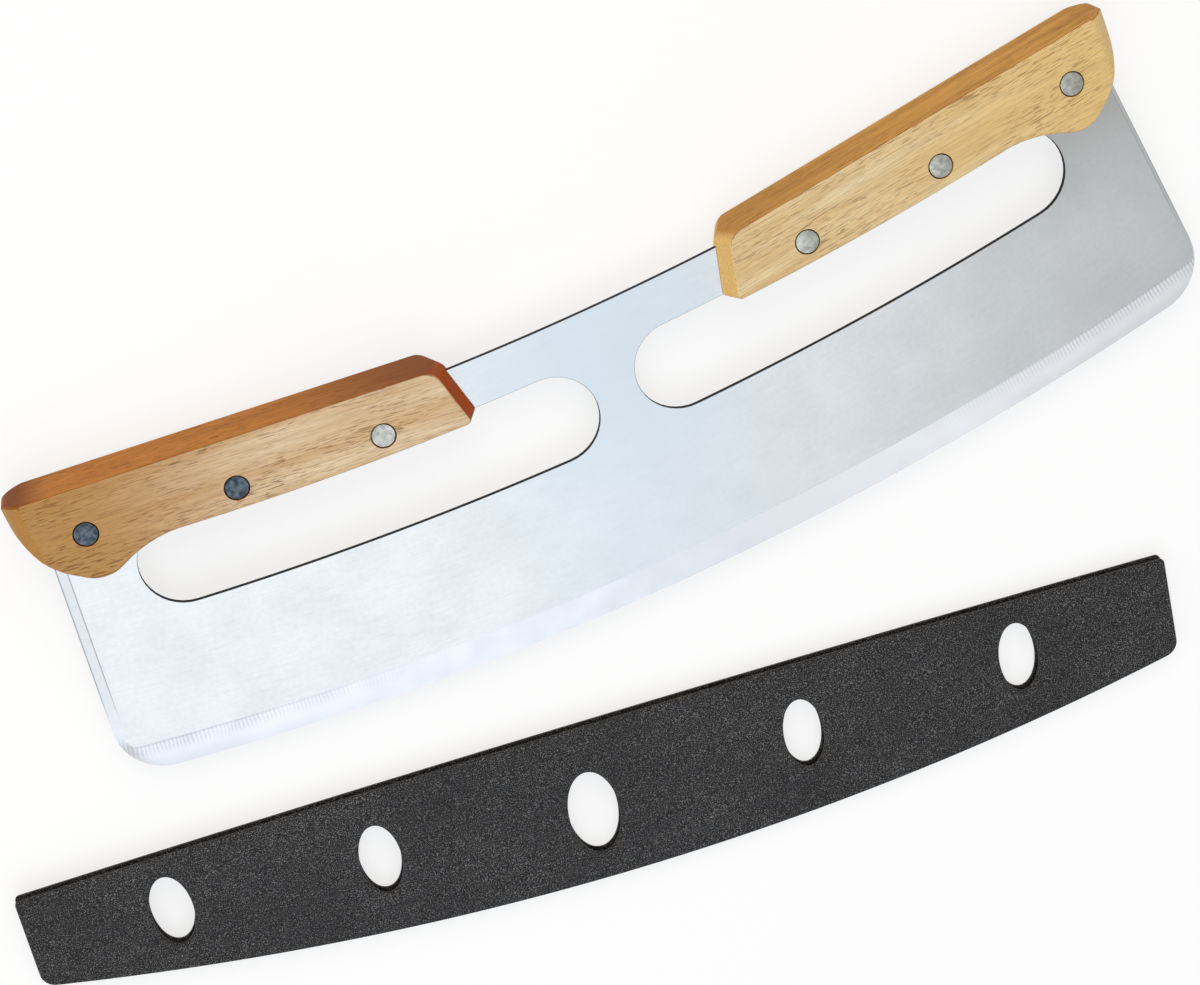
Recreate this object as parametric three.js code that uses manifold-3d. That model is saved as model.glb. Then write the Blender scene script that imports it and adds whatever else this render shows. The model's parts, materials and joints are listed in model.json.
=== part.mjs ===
// Pizza rocker knife: a curved steel blade with two finger slots, two wooden handles pinned over its
// tang by two-piece rivets, and a plastic sheath that lies taken off in front of the cutting edge.
// Millimetres. The knife lies on its side: X runs along the blade, Y from the cutting edge to the
// handles, and Z is up. Every outline is drawn in the blade's own plane, where the lowest point of the
// cutting edge is the origin, and the finished assembly is then laid on the table.
import * as THREE from 'three';
import { mergeVertices } from 'three/addons/utils/BufferGeometryUtils.js';
import Module from 'manifold-3d';

// Blade
const bladeThickness = 1.8;
const bladeLength = 357.5;        // between the lower corners, before they are rounded
const edgeRadius = 920;           // the rocking arc of the cutting edge
const edgeCornerRadius = 15;
const sideLean = 8;               // degrees that the sides open out towards the edge
const grindWidth = 9;             // ground band along the cutting edge
const edgeThickness = 0.4;        // steel left at the cutting edge
const sideGrindWidth = { left: 3.3, right: 1.2 }; // ground strip down each side
const sideEdgeThickness = 1;      // steel left along each side
const spineRadius = 920;          // arc of the bridge and the tang
const spineCornerRadius = 6;      // hidden in the handles

// Finger slots, and the tang over them
const slotFloor = 50.3;           // from the cutting edge to the slots, at the middle
const slotHeight = 27;
const slotArcRadius = 990;        // arc of the slots' lower edge
const slotInset = 30.75;          // from the blade's lower corner in to a slot's outer end
const webWidth = 13.2;            // steel between the two slots
const tangHeight = 14;

// Handles, drawn on the right and mirrored for the left; each has its own outer end
const handleThickness = 20;
const handleInnerEnd = 39.1;      // from the middle to the inner end's lower corner
const handleEndLean = 12.8;       // degrees that the inner end leans outwards
const handleEndBevel = 3.2;       // how far the inner end slopes back at each face
const handleInset = { left: 4.5, right: 6.5 }; // from the blade's lower corner in to the outer end
const handleCrown = 5.3;          // how far the outer end rounds back from its middle to each face
const handleRise = 6.8;           // degrees that the top climbs outwards
const woodOverTang = 3.8;         // at the inner end
const woodUnderTang = 0.8;
const handleEasing = 1;           // broken edge round both faces
const topCornerRadius = 3;        // at the outer end
const endCornerRadius = 3.6;      // at the inner end
const outerShoulder = 6;          // straight part of the outer end, with its corner
const lobeInset = 24.75;          // from the blade's lower corner in to the lobe's tip
const lobeDepth = 8.5;            // of the tip below the slot's upper edge
const lobeRounding = 4;
const lobeSlope = 0.42;           // of the lobe's two flanks
const hollowLength = 24;          // from the grip's lower edge down to the tip

// Rivets, with one half pressed into the other
const rivetInset = 23.75;         // from the blade's lower corner in to the outer rivet
const rivetSpacing = 44;
const rivetNames = ['inner', 'middle', 'outer'];
const rivetAboveSlot = 5.6;
const rivetHeadDiameter = 7;
const rivetHeadThickness = 1.8;
const rivetBarrelDiameter = 4.8;
const rivetShankDiameter = 2.8;
const rivetBarrelGap = 2;         // from the barrel's rim to the other half's head
const rivetBoreEnd = 2.5;         // solid metal over the bore, with the head
const rivetShankGap = 1;          // from the shank's tip to the end of the bore

// Sheath
const sheathWall = 1.3;           // on each side of the blade
const sheathHeight = 53.1;        // at the lowest point of its arc
const sheathFloor = 5.9;          // plastic under the cutting edge, at the middle
const sheathOverhang = 5.05;      // past the blade at each end
const sheathArcTuck = 52;         // how much tighter its lower arc is than the cutting edge's
const sheathArcShift = 6.4;       // how far right of the middle that arc is lowest
const sheathCornerRadius = 5;
const mouthCornerRadius = 1.5;
const sheathEasing = 0.5;         // broken edge round both faces and the holes
const mouthCrown = 1.8;           // how far the mouth bows up at the middle
const hemWidth = 7;               // sloping band along the lower edge
const hemDepth = 0.9;
const centreHole = { width: 16, height: 28.3, drop: 5.7 };
const sideHole = { width: 12.8, height: 23.6, drop: 1.4 };
const sideHolesPerEnd = 2;
const holeInset = 47.5;           // from the sheath's end in to the outer hole
const holeRowShift = -8.7;        // the row of holes sits nearer the left end
const holeDrift = 1.2;            // and its gaps widen towards the right
const sheathPivotX = -508;        // the point that the sheath swings about, onto the blade
const sheathPivotY = 287;
const sheathSwing = 9.14;         // degrees from where the sheath lies to its seat on the blade

// Clearances
const fitGap = 0.3;               // round every piece that sits in another
const channelGap = 0.4;           // between each blade face and the sheath's wall

// How finely the curves are drawn, and how far a cutter runs past what it cuts
const arcSteps = 14;
const roundSteps = 24;
const ringSteps = 1200;
const cutMargin = 3;
const roundness = 0.5523;         // pull of a curve's handles that makes a quarter circle

// Sizes that follow from these
const slotRadius = slotHeight / 2;
const slotCentreY = slotFloor + slotArcRadius;
const slotTopRadius = slotArcRadius - slotHeight;
const bladeHeight = slotFloor + slotHeight + tangHeight;
const spineCentreY = bladeHeight + spineRadius;
const halfBlade = bladeLength / 2;
const slotEnd = halfBlade - slotInset;
const handleEnd = { left: halfBlade - handleInset.left, right: halfBlade - handleInset.right };
const rivetFirst = halfBlade - rivetInset - (rivetNames.length - 1) * rivetSpacing;
const gripRadius = slotTopRadius + woodUnderTang;
const handleCutLength = 4 * (tangHeight + woodOverTang);
const channelWidth = bladeThickness + 2 * channelGap;
const sheathThickness = channelWidth + 2 * sheathWall;
const sheathArcRadius = edgeRadius - sheathArcTuck;
const sheathArcCentreY = sheathArcRadius - fitGap - sheathFloor;
const mouthHeight = sheathHeight - sheathFloor - fitGap;
const halfSheath = halfBlade + sheathOverhang;
const holePitch = (halfSheath - holeInset) / sideHolesPerEnd;
const lean = THREE.MathUtils.degToRad(sideLean);
const endLean = THREE.MathUtils.degToRad(handleEndLean);
const rise = THREE.MathUtils.degToRad(handleRise);
const swing = THREE.MathUtils.degToRad(sheathSwing);
const down = -Math.PI / 2;

// Height at x on the lower part of a circle whose centre is on the Y axis
function arcY(centreY, radius, x) {
  return centreY - Math.sqrt(radius * radius - x * x);
}

function arcAngle(radius, x) {
  return down + Math.asin(x / radius);
}

function sideX(y) {
  return halfBlade - Math.tan(lean) * (y - arcY(edgeRadius, edgeRadius, halfBlade));
}

function handleTopY(x) {
  const start = arcY(spineCentreY, spineRadius, handleInnerEnd) + woodOverTang;
  return start + Math.tan(rise) * (x - handleInnerEnd);
}

function sheathFloorY(x) {
  return arcY(sheathArcCentreY, sheathArcRadius, x - sheathArcShift);
}

// Rivets stand on an arc over the slots
function rivetPlace(index) {
  const x = rivetFirst + index * rivetSpacing;
  return { x, y: arcY(slotCentreY, slotTopRadius, x) + rivetAboveSlot };
}

// Solids and cuts
const wasm = await Module();
wasm.setup();

function solidOf(geometry) {
  const bare = geometry.clone();
  bare.deleteAttribute('normal');
  bare.deleteAttribute('uv');
  const merged = mergeVertices(bare, 1e-4);
  const corners = merged.index.array;
  const faces = [];
  for (let i = 0; i < corners.length; i += 3) {
    const [a, b, c] = corners.slice(i, i + 3);
    if (a !== b && b !== c && c !== a) faces.push(a, b, c);
  }
  const vertProperties = new Float32Array(merged.attributes.position.array);
  const triVerts = new Uint32Array(faces);
  return new wasm.Manifold(new wasm.Mesh({ numProp: 3, vertProperties, triVerts }));
}

function geometryOf(solid) {
  const mesh = solid.getMesh();
  const geometry = new THREE.BufferGeometry();
  geometry.setAttribute('position', new THREE.BufferAttribute(mesh.vertProperties, 3));
  geometry.setIndex(new THREE.BufferAttribute(mesh.triVerts, 1));
  geometry.computeVertexNormals();
  return geometry;
}

function cut(geometry, cutters) {
  const left = cutters.reduce((solid, cutter) => solid.subtract(solidOf(cutter)), solidOf(geometry));
  return geometryOf(left);
}

function mirrored(geometry) {
  const other = geometry.clone().scale(-1, 1, 1);
  const corners = other.index.array;
  for (let i = 0; i < corners.length; i += 3) {
    [corners[i], corners[i + 1]] = [corners[i + 1], corners[i]];
  }
  other.computeVertexNormals();
  return other;
}

// A plate of the given outline, centred on the blade's plane, with its edges broken if asked
function plate(shape, thickness, easing = 0) {
  const geometry = new THREE.ExtrudeGeometry(shape, {
    depth: thickness - 2 * easing,
    curveSegments: arcSteps,
    bevelEnabled: easing > 0,
    bevelThickness: easing,
    bevelSize: easing,
    bevelOffset: -easing,
    bevelSegments: 2,
  });
  return geometry.translate(0, 0, easing - thickness / 2);
}

function peg(radius, length) {
  return new THREE.CylinderGeometry(radius, radius, length, roundSteps).rotateX(Math.PI / 2);
}

// A body turned about Z, from [radius, height] corners in order from its bottom to its top
function turned(corners, steps) {
  const profile = corners.map(([radius, height]) => new THREE.Vector2(radius, height));
  return new THREE.LatheGeometry(profile, steps).rotateX(Math.PI / 2);
}

// Cutters for both faces of a band that thins out towards an arc
function bandCutters(centre, innerRadius, outerRadius, innerHalf, outerHalf) {
  const slope = (innerHalf - outerHalf) / (outerRadius - innerRadius);
  const past = outerRadius + cutMargin;
  const pastHalf = outerHalf - slope * cutMargin;
  const clear = innerHalf + cutMargin;
  const upper = [[innerRadius, innerHalf], [past, pastHalf], [past, clear], [innerRadius, clear]];
  const lower = [[innerRadius, -clear], [past, -clear], [past, -pastHalf], [innerRadius, -innerHalf]];
  return [upper, lower].map((loop) => turned([...loop, loop[0]], ringSteps).translate(...centre, 0));
}

// A long wedge that lies along Y, from [x, z] corners
function wedgeAlongY(corners, length) {
  const shape = new THREE.Shape(corners.map(([x, z]) => new THREE.Vector2(x, z)));
  const wedge = new THREE.ExtrudeGeometry(shape, { depth: length, bevelEnabled: false });
  return wedge.rotateX(Math.PI / 2).translate(0, length / 2, 0);
}

// Rounds an outline's corner between two points on the lines that meet there
function turnCorner(shape, from, corner, to) {
  const handles = [from, to].map(([x, y]) => [
    x + roundness * (corner[0] - x),
    y + roundness * (corner[1] - y),
  ]);
  shape.bezierCurveTo(...handles[0], ...handles[1], ...to);
}

// The blade's outer outline, grown by a gap where it shapes its own seat in the wood
function bladeOutline(gap) {
  const edgeArc = edgeRadius + gap;
  const spineArc = spineRadius - gap;
  const edgeX = halfBlade + gap;
  const edgeY = arcY(edgeRadius, edgeArc, edgeX);
  const spineX = sideX(arcY(spineCentreY, spineRadius, handleEnd.right)) + gap;
  const spineY = arcY(spineCentreY, spineArc, spineX);
  const up = new THREE.Vector2(spineX - edgeX, spineY - edgeY).normalize();
  const edgeEndX = edgeX - edgeCornerRadius;
  const spineEndX = spineX - spineCornerRadius;
  const edgeAngle = arcAngle(edgeArc, edgeEndX);
  const spineAngle = arcAngle(spineArc, spineEndX);
  const outline = (side) => ({
    edgeEnd: [side * edgeEndX, arcY(edgeRadius, edgeArc, edgeEndX)],
    edgeCorner: [side * edgeX, edgeY],
    sideLow: [side * (edgeX + up.x * edgeCornerRadius), edgeY + up.y * edgeCornerRadius],
    sideHigh: [side * (spineX - up.x * spineCornerRadius), spineY - up.y * spineCornerRadius],
    spineCorner: [side * spineX, spineY],
    spineEnd: [side * spineEndX, arcY(spineCentreY, spineArc, spineEndX)],
  });
  const right = outline(1);
  const left = outline(-1);
  const shape = new THREE.Shape();
  shape.absarc(0, edgeRadius, edgeArc, 2 * down - edgeAngle, edgeAngle, false);
  turnCorner(shape, right.edgeEnd, right.edgeCorner, right.sideLow);
  shape.lineTo(...right.sideHigh);
  turnCorner(shape, right.sideHigh, right.spineCorner, right.spineEnd);
  shape.absarc(0, spineCentreY, spineArc, spineAngle, 2 * down - spineAngle, true);
  turnCorner(shape, left.spineEnd, left.spineCorner, left.sideHigh);
  shape.lineTo(...left.sideLow);
  turnCorner(shape, left.sideLow, left.edgeCorner, left.edgeEnd);
  return shape;
}

// One finger slot: two arcs about the same centre, joined by round ends
function fingerSlot(leftX, rightX) {
  const middle = slotArcRadius - slotRadius;
  const left = arcAngle(middle, leftX + slotRadius);
  const right = arcAngle(middle, rightX - slotRadius);
  const endCentre = (angle) => [middle * Math.cos(angle), slotCentreY + middle * Math.sin(angle)];
  const slot = new THREE.Path();
  slot.absarc(0, slotCentreY, slotArcRadius, left, right, false);
  slot.absarc(...endCentre(right), slotRadius, right, right + Math.PI, false);
  slot.absarc(0, slotCentreY, slotTopRadius, right, left, true);
  slot.absarc(...endCentre(left), slotRadius, left + Math.PI, left + 2 * Math.PI, false);
  return slot;
}

// A wedge that grinds one side's strip on one face
function sideCutter(side, face) {
  const width = side > 0 ? sideGrindWidth.right : sideGrindWidth.left;
  const drop = (bladeThickness - sideEdgeThickness) / 2;
  const past = (drop / width) * (width + cutMargin);
  const corners = [[-width, 0], [cutMargin, -past], [cutMargin, cutMargin], [-width, cutMargin]];
  const wedge = wedgeAlongY(corners.map(([x, z]) => [side * x, face * z]), 2 * bladeHeight);
  return wedge.rotateZ(side * lean).translate(side * sideX(0), 0, (face * bladeThickness) / 2);
}

function bladeGeometry() {
  const shape = bladeOutline(0);
  shape.holes = [fingerSlot(webWidth / 2, slotEnd), fingerSlot(-slotEnd, -webWidth / 2)];
  const centre = [0, edgeRadius];
  const grindRadius = edgeRadius - grindWidth;
  const cutters = bandCutters(centre, grindRadius, edgeRadius, bladeThickness / 2, edgeThickness / 2);
  for (const side of [1, -1]) {
    cutters.push(sideCutter(side, 1), sideCutter(side, -1));
    for (const index of rivetNames.keys()) {
      const { x, y } = rivetPlace(index);
      const hole = peg(rivetBarrelDiameter / 2 + fitGap, bladeThickness + 2 * cutMargin);
      cutters.push(hole.translate(side * x, y, 0));
    }
  }
  return cut(plate(shape, bladeThickness), cutters);
}

// A handle's outline, drawn on the right: grip, hollow, lobe, outer end, top and sloping inner end
function handleOutline(outerX) {
  const innerY = arcY(slotCentreY, gripRadius, handleInnerEnd);
  const climb = Math.tan(rise) * Math.tan(endLean);
  const topInnerY = (handleTopY(handleInnerEnd) - climb * innerY) / (1 - climb);
  const topInnerX = handleInnerEnd + Math.tan(endLean) * (topInnerY - innerY);
  const lobeX = halfBlade - lobeInset;
  const lobeY = arcY(slotCentreY, slotTopRadius, lobeX) - lobeDepth;
  const lobeLift = (lobeSlope * lobeRounding) / 2;
  const flank = hollowLength / 3;
  const hollowX = lobeX - hollowLength;
  const hollowY = arcY(slotCentreY, gripRadius, hollowX);
  const hollowSlope = hollowX / gripRadius;
  const outerTopY = handleTopY(outerX);
  const swell = (outerTopY - outerShoulder - lobeY) / 2;
  const shape = new THREE.Shape();
  const gripStart = arcAngle(gripRadius, handleInnerEnd);
  shape.absarc(0, slotCentreY, gripRadius, gripStart, arcAngle(gripRadius, hollowX), false);
  shape.bezierCurveTo(
    hollowX + flank, hollowY + flank * hollowSlope,
    lobeX - lobeRounding - flank, lobeY + lobeLift + flank * lobeSlope,
    lobeX - lobeRounding, lobeY + lobeLift,
  );
  shape.quadraticCurveTo(lobeX, lobeY - lobeLift, lobeX + lobeRounding, lobeY + lobeLift);
  shape.bezierCurveTo(
    lobeX + 2 * lobeRounding, lobeY + lobeLift + lobeRounding * lobeSlope,
    outerX, outerTopY - outerShoulder - swell,
    outerX, outerTopY - outerShoulder,
  );
  const shoulder = [outerX, outerTopY - topCornerRadius];
  const topOuterX = outerX - topCornerRadius;
  const topOuter = [topOuterX, handleTopY(topOuterX)];
  const topInner = [topInnerX + endCornerRadius, handleTopY(topInnerX + endCornerRadius)];
  const endX = topInnerX - endCornerRadius * Math.sin(endLean);
  const endY = topInnerY - endCornerRadius * Math.cos(endLean);
  shape.lineTo(...shoulder);
  turnCorner(shape, shoulder, [outerX, outerTopY], topOuter);
  shape.lineTo(...topInner);
  turnCorner(shape, topInner, [topInnerX, topInnerY], [endX, endY]);
  return shape;
}

// A wedge that slopes a handle's inner end back towards one face
function innerEndCutter(face) {
  const innerY = arcY(slotCentreY, gripRadius, handleInnerEnd);
  const depth = (handleThickness - bladeThickness) / 2;
  const past = (handleEndBevel / depth) * (depth + cutMargin);
  const clear = depth + cutMargin;
  const corners = [[-2 * cutMargin, 0], [0, 0], [past, clear], [-2 * cutMargin, clear]];
  const wedge = wedgeAlongY(corners.map(([x, z]) => [x, face * z]), handleCutLength);
  wedge.translate(0, 0, (face * bladeThickness) / 2);
  return wedge.rotateZ(-endLean).translate(handleInnerEnd, innerY, 0);
}

// A block with a hollow side that rounds a handle's outer end from face to face
function outerEndCutter(outerX) {
  const half = handleThickness / 2;
  const radius = (half * half + handleCrown * handleCrown) / (2 * handleCrown);
  const width = handleCrown + cutMargin;
  const block = new THREE.BoxGeometry(width, handleCutLength, handleThickness + cutMargin);
  const round = new THREE.CylinderGeometry(radius, radius, 2 * handleCutLength, 2 * roundSteps);
  block.translate(outerX - handleCrown + width / 2, 0, 0);
  round.translate(outerX - radius, 0, 0);
  return cut(block, [round]).translate(0, handleTopY(outerX), 0);
}

function handleGeometry(outerX) {
  const kerf = plate(bladeOutline(fitGap), bladeThickness + 2 * fitGap);
  const cutters = [kerf, innerEndCutter(1), innerEndCutter(-1), outerEndCutter(outerX)];
  const headDepth = rivetHeadThickness + fitGap;
  for (const index of rivetNames.keys()) {
    const { x, y } = rivetPlace(index);
    const bore = peg(rivetBarrelDiameter / 2 + fitGap, handleThickness + 2 * cutMargin);
    cutters.push(bore.translate(x, y, 0));
    for (const face of [1, -1]) {
      const seat = peg(rivetHeadDiameter / 2 + fitGap, headDepth + cutMargin);
      const height = handleThickness / 2 + (cutMargin - headDepth) / 2;
      cutters.push(seat.translate(x, y, face * height));
    }
  }
  return cut(plate(handleOutline(outerX), handleThickness, handleEasing), cutters);
}

// The half with the hollow barrel, whose head shows on the upper face
function barrelHalf() {
  const top = handleThickness / 2;
  const under = top - rivetHeadThickness;
  const rim = -under + rivetBarrelGap;
  const bore = rivetShankDiameter / 2 + fitGap;
  return turned([
    [0, top - rivetBoreEnd],
    [bore, top - rivetBoreEnd],
    [bore, rim],
    [rivetBarrelDiameter / 2, rim],
    [rivetBarrelDiameter / 2, under],
    [rivetHeadDiameter / 2, under],
    [rivetHeadDiameter / 2, top],
    [0, top],
  ], roundSteps);
}

// The half with the solid shank, whose head is on the lower face
function shankHalf() {
  const top = handleThickness / 2;
  const under = top - rivetHeadThickness;
  const tip = top - rivetBoreEnd - rivetShankGap;
  return turned([
    [0, -top],
    [rivetHeadDiameter / 2, -top],
    [rivetHeadDiameter / 2, -under],
    [rivetShankDiameter / 2, -under],
    [rivetShankDiameter / 2, tip],
    [0, tip],
  ], roundSteps);
}

// The sheath's outline, drawn where it sits on the blade
function sheathOutline() {
  const floorX = halfSheath - sheathCornerRadius;
  const rimY = mouthHeight - mouthCrown;
  const rimX = halfSheath - mouthCornerRadius;
  const outline = (side) => ({
    floorEnd: [side * floorX, sheathFloorY(side * floorX)],
    floorCorner: [side * halfSheath, sheathFloorY(side * halfSheath)],
    endLow: [side * halfSheath, sheathFloorY(side * halfSheath) + sheathCornerRadius],
    endHigh: [side * halfSheath, rimY - mouthCornerRadius],
    rimCorner: [side * halfSheath, rimY],
    rimEnd: [side * rimX, rimY],
  });
  const right = outline(1);
  const left = outline(-1);
  const shape = new THREE.Shape();
  const fromAngle = arcAngle(sheathArcRadius, -floorX - sheathArcShift);
  const toAngle = arcAngle(sheathArcRadius, floorX - sheathArcShift);
  shape.absarc(sheathArcShift, sheathArcCentreY, sheathArcRadius, fromAngle, toAngle, false);
  turnCorner(shape, right.floorEnd, right.floorCorner, right.endLow);
  shape.lineTo(...right.endHigh);
  turnCorner(shape, right.endHigh, right.rimCorner, right.rimEnd);
  shape.quadraticCurveTo(0, mouthHeight + mouthCrown, ...left.rimEnd);
  turnCorner(shape, left.rimEnd, left.rimCorner, left.endHigh);
  shape.lineTo(...left.endLow);
  turnCorner(shape, left.endLow, left.floorCorner, left.floorEnd);
  return shape;
}

// An oval hole halfway between the mouth and the floor of the channel, less its own drop
function sheathHole(x, { width, height, drop }) {
  const floorY = arcY(edgeRadius, edgeRadius + fitGap, x);
  const hole = new THREE.Path();
  hole.absellipse(x, (mouthHeight + floorY) / 2 - drop, width / 2, height / 2, 0, 2 * Math.PI, true);
  return hole;
}

// The blade's channel, open at the mouth and at both ends
function channelOutline() {
  const reach = halfSheath + cutMargin;
  const angle = arcAngle(edgeRadius + fitGap, reach);
  const shape = new THREE.Shape();
  shape.absarc(0, edgeRadius, edgeRadius + fitGap, 2 * down - angle, angle, false);
  shape.lineTo(reach, mouthHeight + cutMargin);
  shape.lineTo(-reach, mouthHeight + cutMargin);
  return shape;
}

function sheathGeometry() {
  const shape = sheathOutline();
  for (let place = -sideHolesPerEnd; place <= sideHolesPerEnd; place += 1) {
    const x = holeRowShift + place * holePitch + place * place * holeDrift;
    shape.holes.push(sheathHole(x, place === 0 ? centreHole : sideHole));
  }
  const half = sheathThickness / 2;
  const centre = [sheathArcShift, sheathArcCentreY];
  const hem = bandCutters(centre, sheathArcRadius - hemWidth, sheathArcRadius, half, half - hemDepth);
  const channel = plate(channelOutline(), channelWidth);
  return cut(plate(shape, sheathThickness, sheathEasing), [...hem, channel]);
}

// Materials
const steel = new THREE.MeshStandardMaterial({ color: '#c8ccd1', roughness: 0.32, metalness: 1 });
const rivetSteel = new THREE.MeshStandardMaterial({ color: '#a9adb3', roughness: 0.4, metalness: 1 });
const wood = new THREE.MeshStandardMaterial({ color: '#c89a5e', roughness: 0.5, metalness: 0 });
const plastic = new THREE.MeshStandardMaterial({ color: '#2d2e30', roughness: 0.55, metalness: 0 });

function piece(name, geometry, material) {
  const mesh = new THREE.Mesh(geometry, material);
  mesh.name = name;
  return mesh;
}

// The knife
const knife = new THREE.Group();
knife.name = 'knife';
knife.add(piece('blade', bladeGeometry(), steel));
const handles = {
  left: mirrored(handleGeometry(handleEnd.left)),
  right: handleGeometry(handleEnd.right),
};
for (const [side, handle] of Object.entries(handles)) {
  knife.add(piece(`${side}_handle`, handle, wood));
  for (const [index, name] of rivetNames.entries()) {
    const { x, y } = rivetPlace(index);
    const rivet = new THREE.Group();
    rivet.position.set(side === 'left' ? -x : x, y, 0);
    rivet.add(piece(`${side}_${name}_rivet_barrel`, barrelHalf(), rivetSteel));
    rivet.add(piece(`${side}_${name}_rivet_shank`, shankHalf(), rivetSteel));
    knife.add(rivet);
  }
}

// The sheath, swung off the blade about its pivot
const sheath = piece('sheath', sheathGeometry(), plastic);
sheath.position.set(-sheathPivotX, -sheathPivotY, 0);
const sheathHinge = new THREE.Group();
sheathHinge.name = 'sheath_hinge';
sheathHinge.position.set(sheathPivotX, sheathPivotY, 0);
sheathHinge.rotation.z = -swing;
sheathHinge.add(sheath);

// Laid on the table: the handles' lower edges and the sheath's far edge touch it
const sheathArcY = sheathPivotY - (sheathArcShift - sheathPivotX) * Math.sin(swing)
  + (sheathArcCentreY - sheathPivotY) * Math.cos(swing);
const sheathRestY = sheathArcY - sheathArcRadius + hemWidth;
const handleRestY = arcY(slotCentreY, gripRadius, handleInnerEnd);
const laid = new THREE.Group();
laid.add(knife, sheathHinge);
laid.rotation.x = Math.atan2((handleThickness - sheathThickness) / 2, handleRestY - sheathRestY);

// The origin is the middle of the assembly's footprint
const rockerKnife = new THREE.Group();
rockerKnife.name = 'pizza_rocker_knife';
rockerKnife.add(laid);
rockerKnife.updateMatrixWorld(true);
const bounds = new THREE.Box3().setFromObject(laid, true);
const middle = bounds.getCenter(new THREE.Vector3());
laid.position.set(-middle.x, -middle.y, -bounds.min.z);
rockerKnife.updateMatrixWorld(true);

export default rockerKnife;
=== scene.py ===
"""Looks of a pizza rocker knife with two wooden handles and a sheath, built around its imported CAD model.

Every piece is drawn in the knife's own plane, where X runs along the blade, Y goes up from the cutting edge
and Z is the way the front face looks. It is then laid where the model's hinge says that it lies.
"""
import json
import math
from collections import namedtuple

import bmesh
import bpy
from mathutils import Color, Matrix, Vector


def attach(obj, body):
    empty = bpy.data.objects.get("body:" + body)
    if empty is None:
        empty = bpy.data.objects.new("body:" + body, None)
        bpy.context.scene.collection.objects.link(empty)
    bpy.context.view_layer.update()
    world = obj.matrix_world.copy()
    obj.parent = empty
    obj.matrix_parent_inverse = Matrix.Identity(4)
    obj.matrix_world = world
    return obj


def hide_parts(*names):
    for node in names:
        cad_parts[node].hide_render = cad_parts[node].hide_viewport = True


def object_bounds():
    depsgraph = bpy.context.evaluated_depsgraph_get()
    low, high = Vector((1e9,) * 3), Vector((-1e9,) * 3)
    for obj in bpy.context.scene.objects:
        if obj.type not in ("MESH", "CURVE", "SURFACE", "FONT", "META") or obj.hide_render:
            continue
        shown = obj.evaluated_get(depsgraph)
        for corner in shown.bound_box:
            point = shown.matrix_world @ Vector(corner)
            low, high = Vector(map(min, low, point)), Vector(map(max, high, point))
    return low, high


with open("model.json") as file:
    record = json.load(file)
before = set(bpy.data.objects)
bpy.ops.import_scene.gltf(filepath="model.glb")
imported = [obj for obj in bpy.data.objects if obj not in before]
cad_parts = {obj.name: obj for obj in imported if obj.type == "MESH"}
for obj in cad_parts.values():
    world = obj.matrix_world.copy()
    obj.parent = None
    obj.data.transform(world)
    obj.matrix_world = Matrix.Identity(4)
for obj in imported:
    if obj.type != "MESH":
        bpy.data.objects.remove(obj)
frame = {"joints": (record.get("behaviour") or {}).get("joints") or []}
cad_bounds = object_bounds()
swing = frame["joints"][0]

bl_info = {
    "name": "Pizza rocker knife",
    "version": (1, 0, 0),
    "blender": (4, 5, 0),
    "location": "3D View > Sidebar > Rocker knife",
    "description": "Builds a pizza rocker knife, its riveted wooden handles and its sheath",
    "category": "Object",
}

MM = 0.001
WELD = 1e-6                 # points closer than this are one point
LONG_ARC_STEPS = 96         # along the cutting edge, the spine and the sheath
SLOT_ARC_STEPS = 48
ROUND_END_STEPS = 20
CORNER_STEPS = 10
HOLE_STEPS = 64
RIVET_STEPS = 48
EASE_STEPS = 5              # round the eased edges of a handle
RIM_STEPS = 3               # round the rim of a rivet's head
SOLVER_STEPS = 24           # for where a leaning side meets an arc
CROWN_STEPS = 6             # cuts that round the outer end of a handle
CORNER_PARTS = (0.2, 0.4, 0.6, 0.8)  # of the turn from a handle's outer end to its top
SOFT_PART = 0.3             # of the sheath's easing, where the first of its two facets ends
CUT_SNAP = 2e-5             # corners closer than this to a cut are moved onto it
CREASE = math.radians(20)   # edges that fold more than this stay crisp
NOISE_MOST = (0.3, 0.7)     # most values of a noise lie between these
NOISE_ALL = (0.2, 0.8)      # nearly all values of a noise lie between these
CUT_MARKS = (1.1 * MM, 1.1 * MM, 16 * MM)  # lengths of the marks on the plate's cut edges
MIX_COLOURS = (6, 7)        # sockets of a Mix node's two colours
MIX_RESULT = 2              # socket of the colour that it gives
WHITE = (1, 1, 1, 1)
EDGE_MAP = "along_edge"     # the blade's UV map

HANDLE_SIDES = ("left", "right")
RIVET_NAMES = ("inner", "middle", "outer")


# Settings


def size(name, description, millimetres):
    """A length that a user may change, given in millimetres."""
    return bpy.props.FloatProperty(
        name=name, description=description, default=millimetres * MM, subtype='DISTANCE', unit='LENGTH',
        precision=5,
    )


def turn(name, description, degrees):
    """An angle that a user may change, given in degrees."""
    return bpy.props.FloatProperty(
        name=name, description=description, default=math.radians(degrees), subtype='ANGLE', unit='ROTATION',
    )


def share(name, description, default):
    """A share that a user may change, from 0 to 1."""
    return bpy.props.FloatProperty(
        name=name, description=description, default=default, min=0, max=1, subtype='FACTOR',
    )


def number(name, description, default, unit='NONE'):
    """A number that a user may change, in one of Blender's units."""
    return bpy.props.FloatProperty(name=name, description=description, default=default, unit=unit)


def spot(name, description, place):
    """A place that a user may change, given in metres."""
    return bpy.props.FloatVectorProperty(
        name=name, description=description, default=place, size=3, subtype='XYZ', unit='LENGTH',
    )


def oval(name, description, width, height):
    """An oval's width and height that a user may change, given in millimetres."""
    return bpy.props.FloatVectorProperty(
        name=name, description=description, default=(width * MM, height * MM), size=2, unit='LENGTH',
    )


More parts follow.
